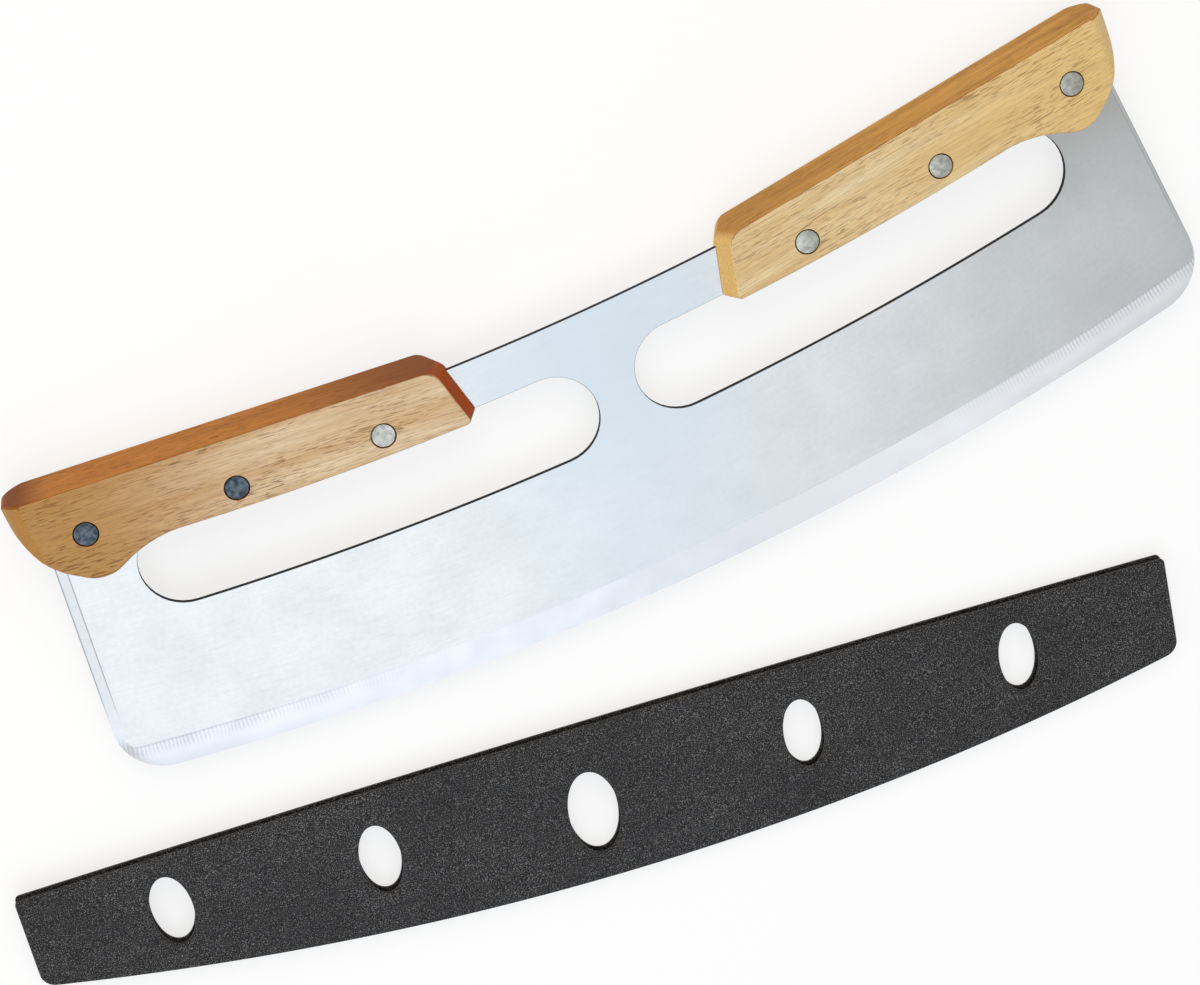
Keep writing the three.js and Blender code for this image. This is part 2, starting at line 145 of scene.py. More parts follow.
def tint(name, description, code):
    """A colour that a user may change, given as a six-digit web colour."""
    channels = [(code >> shift & 255) / 255 for shift in (16, 8, 0)]
    linear = Color(channels).from_srgb_to_scene_linear()
    return bpy.props.FloatVectorProperty(
        name=name, description=description, default=tuple(linear), subtype='COLOR', size=3, min=0, max=1,
    )


class BladeSizes(bpy.types.PropertyGroup):
    """Sizes of the steel plate."""
    length: size("Length", "Over the corners of the cutting edge", 357.5)
    thickness: size("Thickness", "Of the plate", 1.8)
    height: size("Height", "From the edge to the bridge between the handles, in the middle", 91.3)
    edge_radius: size("Edge radius", "Of the rocking edge", 920)
    edge_corner: size("Edge corners", "Radius where the edge meets the sides", 15.8)
    edge_thickness: size("Edge thickness", "Of the cutting edge", 0.4)
    grind_width: size("Grind width", "Of the ground band along the edge", 9)
    grind_corner: size("Grind corners", "Radius where the band turns up the sides", 2)
    side_lean: turn("Side lean", "Of the flared sides, from upright", 8)
    left_strip: size("Left strip", "Width of the ground strip up the left side", 3.3)
    right_strip: size("Right strip", "Width of the ground strip up the right side", 1.2)
    side_thickness: size("Side thickness", "Of the plate's edge at the sides", 1)
    spine_radius: size("Spine radius", "Of the hollow upper edge", 920)
    spine_corner: size("Spine corners", "Radius where the sides meet the upper edge", 6)
    slot_floor: size("Slot floor", "Height of the finger slots above the edge, at the middle", 50.3)
    slot_height: size("Slot height", "Of the finger slots", 27)
    slot_radius: size("Slot radius", "Of the slots' lower side", 990)
    slot_inset: size("Slot inset", "From the end of the blade to the end of a slot", 30.75)
    web: size("Web", "Steel left between the slots", 13.2)
    easing: size("Easing", "Broken edge round the slots and along the spine", 0.12)


class HandleSizes(bpy.types.PropertyGroup):
    """Sizes of the wooden handles and their rivets."""
    thickness: size("Thickness", "Of the wood", 20)
    inner_end: size("Inner end", "From the middle of the knife to the lower corner", 39.1)
    end_lean: turn("End lean", "Of the inner end, from upright", 12.8)
    end_slope: size("End slope", "How far the inner end runs back from the steel to the face", 3.2)
    left_inset: size("Left inset", "From the end of the blade to the left handle's outer end", 4.5)
    right_inset: size("Right inset", "From the end of the blade to the right handle's outer end", 6.5)
    crown: size("Crown", "How far the outer end rounds back from its middle to the faces", 5.3)
    crown_corner: size("Crown corner", "Rounding between the round of the outer end and the top", 1.5)
    rise: turn("Rise", "Of the top, from the middle outwards", 6.8)
    top: size("Top", "Height of the top above the edge, at the inner end", 95.93)
    drop: size("Drop", "Of the wood's lower edge below the slot's upper side", 0.8)
    easing: size("Easing", "Rounding of the edges round the faces", 1.3)
    top_corner: size("Top corner", "Rounding at the outer end", 2.9)
    end_corner: size("End corner", "Rounding at the top of the inner end", 3.6)
    heel_corner: size("Heel corner", "Rounding at the foot of the inner end", 1.6)
    lobe_inset: size("Lobe inset", "From the end of the blade to the lobe's tip", 22.95)
    lobe_depth: size("Lobe depth", "Of the lobe's corner below the slot's upper side", 10.2)
    lobe_rounding: size("Lobe rounding", "At the tip", 5.5)
    hollow_length: size("Hollow length", "From the grip to the lobe's tip", 25.5)
    hollow_crest: size("Hollow crest", "From the grip to the top of the hollow", 8.4)
    hollow_rounding: size("Hollow rounding", "At the crest", 7.9)
    shoulder: size("Shoulder", "Height of the outer end's lower corner above the lobe's", 14.1)
    shoulder_rounding: size("Shoulder rounding", "At the outer end's lower corner", 13.2)
    rivet_inset: size("Rivet inset", "From the end of the blade to the outer rivet", 23.75)
    rivet_spacing: size("Rivet spacing", "Along the handle", 44)
    rivet_height: size("Rivet height", "Above the slot's upper side", 5.6)
    head_diameter: size("Head diameter", "Of a rivet", 7)
    head_thickness: size("Head thickness", "Of a rivet", 1.8)
    head_easing: size("Head easing", "Rounding of a rivet head's rim", 0.3)
    head_dome: size("Head dome", "How far the middle of a head stands up", 0.12)
    barrel_diameter: size("Barrel diameter", "Of a rivet's hollow half", 4.8)
    shank_diameter: size("Shank diameter", "Of a rivet's solid half", 2.8)
    barrel_gap: size("Barrel gap", "From a barrel's end to the other half's head", 2)
    bore_end: size("Bore end", "Steel left between a barrel's bore and its head", 2.5)
    shank_gap: size("Shank gap", "From a shank's tip to the end of the bore", 1)
    fit: size("Fit", "Clearance of rivets and steel in the wood", 0.3)


class SheathSizes(bpy.types.PropertyGroup):
    """Sizes of the moulded sheath."""
    overhang: size("Overhang", "Past each end of the blade", 5.05)
    height: size("Height", "Over all, where the lower edge is lowest", 53.1)
    floor: size("Floor", "Under the channel", 5.9)
    arc_tuck: size("Arc tuck", "How much tighter the lower edge is than the cutting edge", 52)
    arc_shift: size("Arc shift", "How far right of the middle the lower edge is lowest", 6.4)
    thickness: size("Thickness", "Over all", 5.2)
    channel: size("Channel", "Width of the slot that takes the blade", 2.6)
    channel_floor: size("Channel floor", "Below the cutting edge", 0.3)
    corner: size("Corners", "Radius of the two lower corners", 5)
    mouth_corner: size("Mouth corners", "Radius of the two upper corners", 1.5)
    mouth_crown: size("Mouth crown", "How far the mouth's middle stands above its ends", 1.8)
    easing: size("Easing", "Rounding of the edges", 0.5)
    hem_width: size("Hem width", "Of the band that thins along the lower edge", 7)
    hem_depth: size("Hem depth", "How far the band thins on each face", 0.85)
    centre_hole: oval("Centre hole", "Width and height", 16, 28.3)
    side_hole: oval("Side holes", "Width and height", 12.8, 23.6)
    centre_drop: size("Centre drop", "Of the centre hole below the middle of the channel", 5.7)
    side_drop: size("Side drop", "Of the side holes below the middle of the channel", 1.4)
    hole_inset: size("Hole inset", "From an end to the nearest hole, less the row's shift", 47.5)
    row_shift: size("Row shift", "Of the row of holes along the sheath", -8.7)
    row_drift: size("Row drift", "Half of what a gap between holes is wider than the one to its left", 1.2)
    holes_per_end: bpy.props.IntProperty(
        name="Holes per end", description="On each side of the middle one", default=2,
    )
    swing_centre: spot("Swing centre", "Of the sheath's turn, in the knife's plane", (-508 * MM, 287 * MM, 0))


class Finishes(bpy.types.PropertyGroup):
    """Colours of the surfaces."""
    steel: tint("Steel", "Of the satin blade", 0xB1B3B2)
    steel_dull: tint("Dull steel", "Of the blade's darker clouds", 0xA5A7A6)
    # Painted shade: the blade's darker reflection at its bridge and upper right corner is painted into these
    # two colours
    steel_middle_shade: tint("Middle steel", "Of the blade's bridge and middle", 0xA0A6A9)
    steel_far_shade: tint("Far steel", "Of the blade's upper right corner", 0x8C8D88)
    ground: tint("Ground steel", "Of the band along the edge", 0xB3B5B7)
    ground_right: tint("Ground steel at the right", "Of the band towards its right end", 0xD2D4D6)
    tick: tint("Grinding ticks", "Of the marks across the band", 0x868B90)
    side: tint("Side steel", "Of the strips up the sides", 0xACAEAF)
    side_line: tint("Side lines", "Of the lines along the strips", 0x70757A)
    cut_edge: tint("Cut edge", "Of the plate's cut edges", 0x101113)
    left_pale: tint("Left pale wood", "Of the left handle's faces", 0xECD5B2)
    left_warm: tint("Left warm wood", "Of the darker bands in the left handle's faces", 0xD6B382)
    left_outer: tint("Left outer wood", "Of the left handle's faces at the outer end", 0xB78742)
    # Painted shade: the left handle's rounded outer end is coloured darker than its face
    left_round: tint("Left round", "Of the left handle's rounded outer end", 0xB4843E)
    # Painted shade: the left handle's top gets a darker colour than its faces
    left_top: tint("Left top", "Of the left handle's upper side", 0xE09340)
    # Painted shade: the left handle's inner end, which faces away from the light, is coloured dark
    left_end: tint("Left end", "Of the left handle's inner end", 0xB8521A)
    right_pale: tint("Right pale wood", "Of the right handle's faces", 0xF0DBAE)
    right_warm: tint("Right warm wood", "Of the darker bands in the right handle's faces", 0xE2C084)
    right_outer: tint("Right outer wood", "Of the right handle's faces at the outer end", 0xECCA86)
    # Painted light: the right handle's rounded outer end is coloured brighter, against the shade that its
    # round takes
    right_round: tint("Right round", "Of the right handle's rounded outer end", 0xF4D08C)
    # Painted shade: the right handle's top gets a darker colour than its faces
    right_top: tint("Right top", "Of the right handle's upper side", 0xF2B65E)
    # Painted light: the right handle's inner end, which faces the light, is coloured bright
    right_end: tint("Right end", "Of the right handle's inner end", 0xFAD286)
    wood_pore: tint("Pores", "Of the short streaks in the wood", 0x784818)
    # Dark wood of the tops' bands and ends, also painted as shade along the eased edge between top and front
    # face
    dark_wood_and_shade: tint("Dark wood", "Of the handles' tops towards the inner end", 0x86441C)
    rivet: tint("Rivets", "Of the bright rivets", 0x9A9A92)
    rivet_dark: tint("Dark rivets", "Of the dull rivets", 0x4A535A)
    plastic: tint("Plastic", "Of the sheath", 0x0E0E0F)
    plastic_pale: tint("Plastic grain", "Of the sheath's pale specks", 0x8E8E8F)
    floor: tint("Floor", "Of the table under the knife", 0x9A9A9A)
    rivet_mottle: share("Rivet mottling", "How dark the marks in the bright rivets are", 0.32)
    dull_mottle: share("Dull mottling", "How dark the marks in the dull rivets are", 0.65)
    left_pores: share("Left pores", "How dark the left handle's pores are", 0.78)
    right_pores: share("Right pores", "How dark the right handle's pores are", 0.55)
    left_shade: share("Left shade", "How dark the left handle's top gets towards its inner end", 0.9)
    right_shade: share("Right shade", "How dark the right handle's top gets towards its inner end", 0.2)


class Textures(bpy.types.PropertyGroup):
    """Lengths and widths of the marks on the surfaces."""
    brush_length: size("Brush length", "Of the fine lines on the steel", 10)
    brush_width: size("Brush width", "Of the fine lines on the steel", 0.4)
    steel_cloud: size("Steel clouds", "Width of the steel's faint clouds", 22)
    steel_speck: size("Steel specks", "Width of the steel's faint specks", 1.6)
    tick_step: size("Tick step", "From one grinding tick to the next", 1.2)
    tick_waver: size("Tick waver", "Width of the unevenness in the ticks", 11)
    band_length: size("Band length", "Of the wood's wide bands", 70)
    band_width: size("Band width", "Of the wood's wide bands", 5)
    fibre_length: size("Fibre length", "Of the wood's fine fibres", 12)
    fibre_width: size("Fibre width", "Of the wood's fine fibres", 0.45)
    pore_length: size("Pore length", "Of the wood's short dark streaks", 4.2)
    pore_width: size("Pore width", "Of the wood's short dark streaks", 0.37)
    patch_length: size("Patch length", "Of the patches where pores crowd", 26)
    patch_width: size("Patch width", "Of the patches where pores crowd", 8)
    rivet_grain: size("Rivet grain", "Width of the rivets' mottling", 1.5)
    plastic_grain: size("Plastic grain", "Width of the sheath's specks", 0.31)
    plastic_cloud: size("Plastic clouds", "Width of the sheath's faint clouds", 25)


class StageSettings(bpy.types.PropertyGroup):
    """The camera and the light."""
    eye: spot("Eye", "Where the camera stands", (-0.02232, 0.30087, 0.7614))
    target: spot("Target", "What the middle of the picture shows", (0.01077, 0.02585, 0))
    roll: turn("Roll", "Of the camera about its line of sight", 148.85)
    lens: number("Lens", "Focal length", 81, 'CAMERA')
    sensor: number("Sensor", "Width of the sensor", 36, 'CAMERA')
    floor_span: size("Floor", "Length of a side of the floor", 6000)
    floor_gap: size("Floor gap", "From the lowest point of the knife to the floor", 0.05)
    key_place: spot("Key light", "Middle of the large light that the steel reflects", (-0.25, -0.42, 1.25))
    key_span: size("Key span", "Length of a side of the key light", 1220)
    key_power: number("Key power", "In watts", 7.1, 'POWER')
    key_colour: tint("Key colour", "Of the key light", 0xE5EDFB)
    fill_place: spot("Fill light", "Middle of the soft light on the handles' upper sides", (0.2, 1.1, 1.0))
    fill_span: size("Fill span", "Length of a side of the fill light", 1200)
    fill_power: number("Fill power", "In watts", 9, 'POWER')
    fill_colour: tint("Fill colour", "Of the fill light", 0xFFF2E0)
    side_place: spot("Side light", "Middle of the soft light on the ends that face left", (-1.0, 0.35, 0.25))
    side_span: size("Side span", "Length of a side of the side light", 400)
    side_power: number("Side power", "In watts", 2.6, 'POWER')
    side_colour: tint("Side colour", "Of the side light", 0xFFEFD6)
    ambient: number("Ambient", "Strength of the light from all round", 0.42)
    glow: number("Floor glow", "White that the camera sees in the floor", 0.7)


class RockerKnife(bpy.types.PropertyGroup):
    """All settings of the knife and its stage."""
    blade: bpy.props.PointerProperty(type=BladeSizes)
    handles: bpy.props.PointerProperty(type=HandleSizes)
    sheath: bpy.props.PointerProperty(type=SheathSizes)
    finishes: bpy.props.PointerProperty(type=Finishes)
    textures: bpy.props.PointerProperty(type=Textures)
    stage: bpy.props.PointerProperty(type=StageSettings)


# Where the knife and the sheath lie


def knife_place(sheath):
    """Lays the knife's plane where the hinge's axis and centre put it."""
    axis = Vector(swing["axis"])
    tilt = Matrix.Rotation(math.atan2(-axis.y, axis.z), 4, 'X')
    shift = Vector(swing["pos_m"]) - tilt @ Vector(sheath.swing_centre)
    return Matrix.Translation(shift) @ tilt


def sheath_place(sheath):
    """Swings the sheath from the blade to where it lies."""
    centre = Vector(sheath.swing_centre)
    away = Matrix.Rotation(-math.radians(swing["range_deg"][1]), 4, 'Z')
    return knife_place(sheath) @ Matrix.Translation(centre) @ away @ Matrix.Translation(-centre)


# Drawing in the knife's plane


def clamped(value):
    """A value kept between 0 and 1."""
    return min(1, max(0, value))


def of_kind(kind, items):
    """Those of an operator's new items that are vertices, edges or faces, as kind says."""
    return [item for item in items if isinstance(item, kind)]


def all_of(bm):
    """All vertices, edges and faces of a mesh."""
    return bm.verts[:] + bm.edges[:] + bm.faces[:]


def ends_of(edges):
    """The vertices at the ends of some edges, each once, in the order of the edges."""
    return list(dict.fromkeys(vert for edge in edges for vert in edge.verts))


def arc_height(centre_y, radius, x):
    """Height of a circle's lower side, for a circle on the knife's middle line."""
    return centre_y - math.sqrt(radius * radius - x * x)


def spin_on(bm, start, centre, angle, steps):
    """Draws an arc on from a vertex and returns the vertex at its end."""
    arc = bmesh.ops.spin(bm, geom=[start], cent=centre, axis=(0, 0, 1), angle=angle, steps=steps)
    return of_kind(bmesh.types.BMVert, arc["geom_last"])[0]


def line_on(bm, start, place):
    """Draws a straight edge on from a vertex and returns the vertex at its end."""
    end = bm.verts.new(place)
    bm.edges.new((start, end))
    return end


def closed_loop(bm, known, height=0.0):
    """The edges drawn since known was taken, with their ends welded, at a height above the middle plane."""
    drawn = ends_of(edge for edge in bm.edges if edge not in known)
    bmesh.ops.remove_doubles(bm, verts=drawn, dist=WELD)
    loop = [edge for edge in bm.edges if edge not in known]
    for vert in ends_of(loop):
        vert.co.z = height
    return loop


def lifted(bm, loop, height):
    """Extrudes a loop to the height that a function gives for each point; returns new loop and wall."""
    made = bmesh.ops.extrude_edge_only(bm, edges=loop)["geom"]
    tops = set(of_kind(bmesh.types.BMVert, made))
    for vert in tops:
        vert.co.z = height(vert.co)
    rim = [edge for edge in of_kind(bmesh.types.BMEdge, made) if tops.issuperset(edge.verts)]
    return rim, of_kind(bmesh.types.BMFace, made)


def stepped(bm, loop, centre, parts, height):
    """Extrudes a round loop to a height and shrinks the new one, which it returns, to parts of its size."""
    rim, _ = lifted(bm, loop, lambda point: height)
    bmesh.ops.scale(bm, verts=ends_of(rim), vec=(*parts, 1), space=Matrix.Translation(-centre))
    return rim


def thickened(bm, thickness):
    """Extrudes every face straight up and returns the raised vertices."""
    made = bmesh.ops.extrude_face_region(bm, geom=bm.faces[:])["geom"]
    raised = of_kind(bmesh.types.BMVert, made)
    bmesh.ops.translate(bm, verts=raised, vec=(0, 0, thickness))
    return raised


def bridged(bm, first, second):
    """Joins two loops of as many edges and returns the faces between them."""
    return bmesh.ops.bridge_loops(bm, edges=first + second)["faces"]


def filled(bm, loops):
    """Fills the flat face between an outline and the loops inside it."""
    made = bmesh.ops.triangle_fill(bm, use_beauty=True, edges=sum(loops, []), normal=(0, 0, 1))["geom"]
    return of_kind(bmesh.types.BMFace, made)


def both_faces(bm):
    """Mirrors a front half to the back, and turns every face outwards."""
    bmesh.ops.mirror(bm, geom=all_of(bm), axis='Z', merge_dist=WELD)
    bmesh.ops.remove_doubles(bm, verts=bm.verts[:], dist=WELD)
    bmesh.ops.recalc_face_normals(bm, faces=bm.faces[:])


def round_corner(bm, corner, reach):
    """Rounds one corner of an outline, from so far along each of its two sides."""
    bmesh.ops.bevel(
        bm, geom=[corner], offset=reach, offset_type='OFFSET', affect='VERTICES', segments=CORNER_STEPS,
        profile=0.5, material=-1, clamp_overlap=False,
    )


# A plate between a round lower edge and a round upper edge, given by the middles and radii of their circles.
# bow is 1 where the upper edge is hollow and -1 where it stands up in the middle.
RockerForm = namedtuple("RockerForm", "half lean foot floor floor_radius top top_radius bow")

# One side of such a plate: the middles of its lower and upper corners, how far they and the long edges turn,
# and the way that the side looks.
RockerSide = namedtuple("RockerSide", "low high low_turn high_turn floor_turn top_turn outward")


def side_meeting(form, way, centre, radius, bow, inset):
    """Where the right side of a plate (way is 1) or its left side (-1), moved in by inset, meets a circle."""
    x = form.half
    for _ in range(SOLVER_STEPS):
        y = centre.y - bow * math.sqrt(radius * radius - (x - way * centre.x) ** 2)
        x = form.half - inset / math.cos(form.lean) - (y - form.foot) * math.tan(form.lean)
    return Vector((way * x, y, 0))


def rocker_side(form, way, inset, radii, corners):
    """The right side of a plate (way is 1) or its left side (-1), for the radii on which its corners lie."""
    low_radius, high_radius = radii
    floor_corner, top_corner = corners
    low = side_meeting(form, way, form.floor, low_radius, 1, inset + floor_corner)
    high = side_meeting(form, way, form.top, high_radius, form.bow, inset + top_corner)
    floor_turn = math.asin((low.x - form.floor.x) / low_radius)
    top_turn = form.bow * math.asin((high.x - form.top.x) / high_radius)
    return RockerSide(
        low=low, high=high, floor_turn=floor_turn, top_turn=top_turn,
        low_turn=math.pi / 2 + form.lean - way * floor_turn,
        high_turn=math.pi / 2 - form.lean + way * top_turn,
        outward=Vector((way * math.cos(form.lean), math.sin(form.lean), 0)),
    )


def rocker_loop(bm, form, insets, corners, height=0.0):
    """Draws a plate's outline, moved in by insets for its floor, left, right and top, with rounded corners.

    The corners have one radius at the floor and one at the top.
    """
    floor_inset, left_inset, right_inset, top_inset = insets
    floor_corner, top_corner = corners
    known = set(bm.edges)
    floor_radius = form.floor_radius - floor_inset
    top_radius = form.top_radius + form.bow * top_inset
    radii = (floor_radius - floor_corner, top_radius + form.bow * top_corner)
    left = rocker_side(form, -1, left_inset, radii, corners)
    right = rocker_side(form, 1, right_inset, radii, corners)
    to_start = Vector((math.sin(left.floor_turn), -math.cos(left.floor_turn), 0))
    start = bm.verts.new(form.floor + floor_radius * to_start)
    point = spin_on(bm, start, form.floor, right.floor_turn - left.floor_turn, LONG_ARC_STEPS)
    point = spin_on(bm, point, right.low, right.low_turn, CORNER_STEPS)
    point = line_on(bm, point, right.high + top_corner * right.outward)
    point = spin_on(bm, point, right.high, right.high_turn, CORNER_STEPS)
    point = spin_on(bm, point, form.top, left.top_turn - right.top_turn, LONG_ARC_STEPS)
    point = spin_on(bm, point, left.high, left.high_turn, CORNER_STEPS)
    point = line_on(bm, point, left.low + floor_corner * left.outward)
    spin_on(bm, point, left.low, left.low_turn, CORNER_STEPS)
    return closed_loop(bm, known, height)


def oval_loop(bm, place, width, depth, steps, height):
    """Draws an oval, or a circle where width and depth agree."""
    shape = Matrix.Translation((place.x, place.y, height)) @ Matrix.Diagonal((width / 2, depth / 2, 1, 1))
    known = set(bm.edges)
    bmesh.ops.create_circle(bm, segments=steps, radius=1, matrix=shape)
    return [edge for edge in bm.edges if edge not in known]


# The finished mesh


def carved(context, stock, tool):
    """Cuts one closed shape out of another and returns what is left."""
    solids = []
    for shape in (stock, tool):
        mesh = bpy.data.meshes.new("carving")
        shape.to_mesh(mesh)
        shape.free()
        solids.append(bpy.data.objects.new("carving", mesh))
        context.collection.objects.link(solids[-1])
    cut = solids[0].modifiers.new("Cut", 'BOOLEAN')
    cut.operation = 'DIFFERENCE'
    cut.solver = 'EXACT'
    cut.object = solids[1]
    evaluated = solids[0].evaluated_get(context.evaluated_depsgraph_get())
    result = bmesh.new()
    result.from_mesh(evaluated.to_mesh())
    evaluated.to_mesh_clear()
    for solid in solids:
        mesh = solid.data
        bpy.data.objects.remove(solid)
        bpy.data.meshes.remove(mesh)
    return result


def add_piece(context, name, bm, place, body, node, materials):
    """Makes a piece from a mesh in the knife's plane, which rides on a body in a CAD node's stead."""
    for face in bm.faces:
        face.smooth = True
    for edge in bm.edges:
        if edge.calc_face_angle(0) > CREASE:
            edge.smooth = False
    bm.transform(place)
    mesh = bpy.data.meshes.new(name)
    bm.to_mesh(mesh)
    bm.free()
    for material in materials:
        mesh.materials.append(material)
    piece = bpy.data.objects.new(name, mesh)
    context.collection.objects.link(piece)
    shading = piece.modifiers.new("Even shading", 'WEIGHTED_NORMAL')
    shading.keep_sharp = True
    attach(piece, body)
    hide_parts(node)


# Finishes


class NodeTree:
    """The nodes of a material or world, with short calls that add and join them."""

    def __init__(self, owner):
        owner.use_nodes = True
        self.nodes = owner.node_tree.nodes
        self.links = owner.node_tree.links
        self.nodes.clear()

    def add(self, kind, inputs=None, **settings):
        """Adds a node, joins the inputs that are sockets and sets the others."""
        node = self.nodes.new(kind)
        for key, value in settings.items():
            setattr(node, key, value)
        for key, value in (inputs or {}).items():
            if isinstance(value, bpy.types.NodeSocket):
                self.links.new(value, node.inputs[key])
            else:
                node.inputs[key].default_value = value
        return node

    def math(self, operation, first, second):
        """Joins two values."""
        return self.add('ShaderNodeMath', {0: first, 1: second}, operation=operation).outputs["Value"]

    def seen(self):
        """1 for what the camera sees, straight, in gloss or through glass, and 0 for other light."""
        path = self.add('ShaderNodeLightPath')
        seen = path.outputs["Is Camera Ray"]
        for ray in ("Is Glossy Ray", "Is Transmission Ray"):
            seen = self.math('MAXIMUM', seen, path.outputs[ray])
        return seen


class Finish(NodeTree):
    """A material's nodes, and the shader that they paint."""

    def __init__(self, name, roughness=0.5, metallic=0.0):
        self.material = bpy.data.materials.new(name)
        super().__init__(self.material)
        self.shader = self.add('ShaderNodeBsdfPrincipled', {"Roughness": roughness, "Metallic": metallic})
        self.add('ShaderNodeOutputMaterial', {"Surface": self.shader.outputs["BSDF"]})

    def coordinates(self, turned=0.0):
        """The piece's own coordinates in metres, turned about Z."""
        source = self.add('ShaderNodeTexCoord').outputs["Object"]
        turning = self.add('ShaderNodeMapping', {"Vector": source, "Rotation": (0, 0, -turned)})
        return turning.outputs["Vector"]

    def chart(self):
        """The blade's UV map in metres, and its distances along the cutting edge and up from it."""
        chart = self.add('ShaderNodeUVMap', uv_map=EDGE_MAP).outputs["UV"]
        place = self.add('ShaderNodeSeparateXYZ', {0: chart})
        return chart, place.outputs["X"], place.outputs["Y"]

    def noise(self, place, lengths, detail=2.0, roughness=0.5):
        """Soft noise whose blotches have about these lengths along the three axes of the coordinates."""
        scale = tuple(1 / length for length in lengths)
        vector = self.add('ShaderNodeMapping', {"Vector": place, "Scale": scale}).outputs["Vector"]
        inputs = {"Vector": vector, "Scale": 1.0, "Detail": detail, "Roughness": roughness}
        return self.add('ShaderNodeTexNoise', inputs).outputs["Fac"]

    def attribute(self, name):
        """A value that the piece's mesh carries."""
        return self.add('ShaderNodeAttribute', attribute_name=name).outputs["Fac"]

    def spread(self, value, low, high, to_low=0.0, to_high=1.0):
        """Spreads the part of a value between low and high over another range."""
        inputs = {"Value": value, "From Min": low, "From Max": high, "To Min": to_low, "To Max": to_high}
        return self.add('ShaderNodeMapRange', inputs, interpolation_type='SMOOTHSTEP').outputs["Result"]

    def mix(self, factor, first, second):
        """Mixes two colours, each a socket or a linear colour."""
        inputs = {0: factor}
        for socket, colour in zip(MIX_COLOURS, (first, second)):
            inputs[socket] = colour if isinstance(colour, bpy.types.NodeSocket) else (*colour, 1)
        return self.add('ShaderNodeMix', inputs, data_type='RGBA').outputs[MIX_RESULT]

    def bump(self, height, strength, depth):
        """Raises the surface by a height of 0 to 1, so deep in metres."""
        inputs = {"Height": height, "Strength": strength, "Distance": depth}
        self.links.new(self.add('ShaderNodeBump', inputs).outputs["Normal"], self.shader.inputs["Normal"])

    def paint(self, socket, value):
        """Gives a varying value to one of the shader's sockets."""
        self.links.new(value, self.shader.inputs[socket])


def satin_steel(finishes, textures, blade):
    """Satin steel with faint clouds, specks and lines along it, and painted shade, a darker reflection, at
    its bridge and upper right.
    """
    finish = Finish("satin_steel", metallic=1.0)
    chart, along, up = finish.chart()
    lines = finish.noise(chart, (textures.brush_length, textures.brush_width, 1), detail=3)
    clouds = finish.noise(chart, (textures.steel_cloud, textures.steel_cloud, 1), detail=4)
    specks = finish.noise(chart, (textures.steel_speck, textures.steel_speck, 1), detail=2)
    shade = finish.spread(clouds, *NOISE_MOST, 0, 0.5)
    for marks in (specks, lines):
        shade = finish.math('ADD', shade, finish.spread(marks, *NOISE_MOST, 0, 0.25))
    # Painted shade: the steel's colour darkens towards the bridge and the upper right, standing in for the
    # reflection there
    distance = finish.math('ABSOLUTE', along, 0.0)
    middle = finish.spread(distance, 0.02 * blade.length, 0.2 * blade.length, 1.0, 0.0)
    bridge = finish.spread(up, 0.25 * blade.height, 0.8 * blade.height, 0.5, 1.0)
    right = finish.spread(along, 0.28 * blade.length, 0.46 * blade.length)
    upper = finish.spread(up, 0.35 * blade.height, 0.95 * blade.height)
    steel = finish.mix(shade, finishes.steel, finishes.steel_dull)
    steel = finish.mix(finish.math('MULTIPLY', middle, bridge), steel, finishes.steel_middle_shade)
    finish.paint("Base Color", finish.mix(finish.math('MULTIPLY', right, upper), steel, finishes.steel_far_shade))
    finish.paint("Roughness", finish.spread(lines, *NOISE_ALL, 0.28, 0.34))
    finish.bump(specks, 0.1, 0.02 * MM)
    return finish.material


def ground_steel(finishes, textures, blade):
    """The ground band: close ticks across its upper part and a line along it, strongest towards the ends."""
    finish = Finish("ground_steel", metallic=1.0)
    chart, along, up = finish.chart()
    waver = finish.noise(chart, (textures.tick_waver, textures.tick_waver, 1), detail=3)
    phase = finish.math('DIVIDE', along, textures.tick_step)
    phase = finish.math('ADD', phase, finish.spread(waver, *NOISE_ALL, -0.4, 0.4))
    tick = finish.spread(finish.math('PINGPONG', phase, 0.5), 0.14, 0.34, 1.0, 0.0)
    reach = finish.spread(up, 0.45 * blade.grind_width, 0.8 * blade.grind_width)
    distance = finish.math('ABSOLUTE', along, 0.0)
    ends = finish.spread(distance, 0.2 * blade.length, 0.46 * blade.length, 0.02, 0.45)
    shown = finish.math('MULTIPLY', finish.math('MULTIPLY', tick, ends), reach)
    worn = finish.math('MULTIPLY', shown, finish.spread(waver, *NOISE_MOST, 0.55, 1.0))
    band = finish.mix(finish.spread(along, 0, 0.3 * blade.length), finishes.ground, finishes.ground_right)
    low = finish.spread(up, 0, 0.5 * blade.grind_width, 0.45, 0.0)
    line = finish.spread(finish.attribute("strip"), 0.9, 0.96)
    soft = finish.math('MULTIPLY', finish.math('MAXIMUM', low, line), ends)
    band = finish.mix(soft, band, finishes.tick)
    finish.paint("Base Color", finish.mix(worn, band, finishes.tick))
    finish.paint("Roughness", finish.spread(waver, *NOISE_ALL, 0.26, 0.36))
    finish.bump(worn, 0.4, -0.03 * MM)
    return finish.material


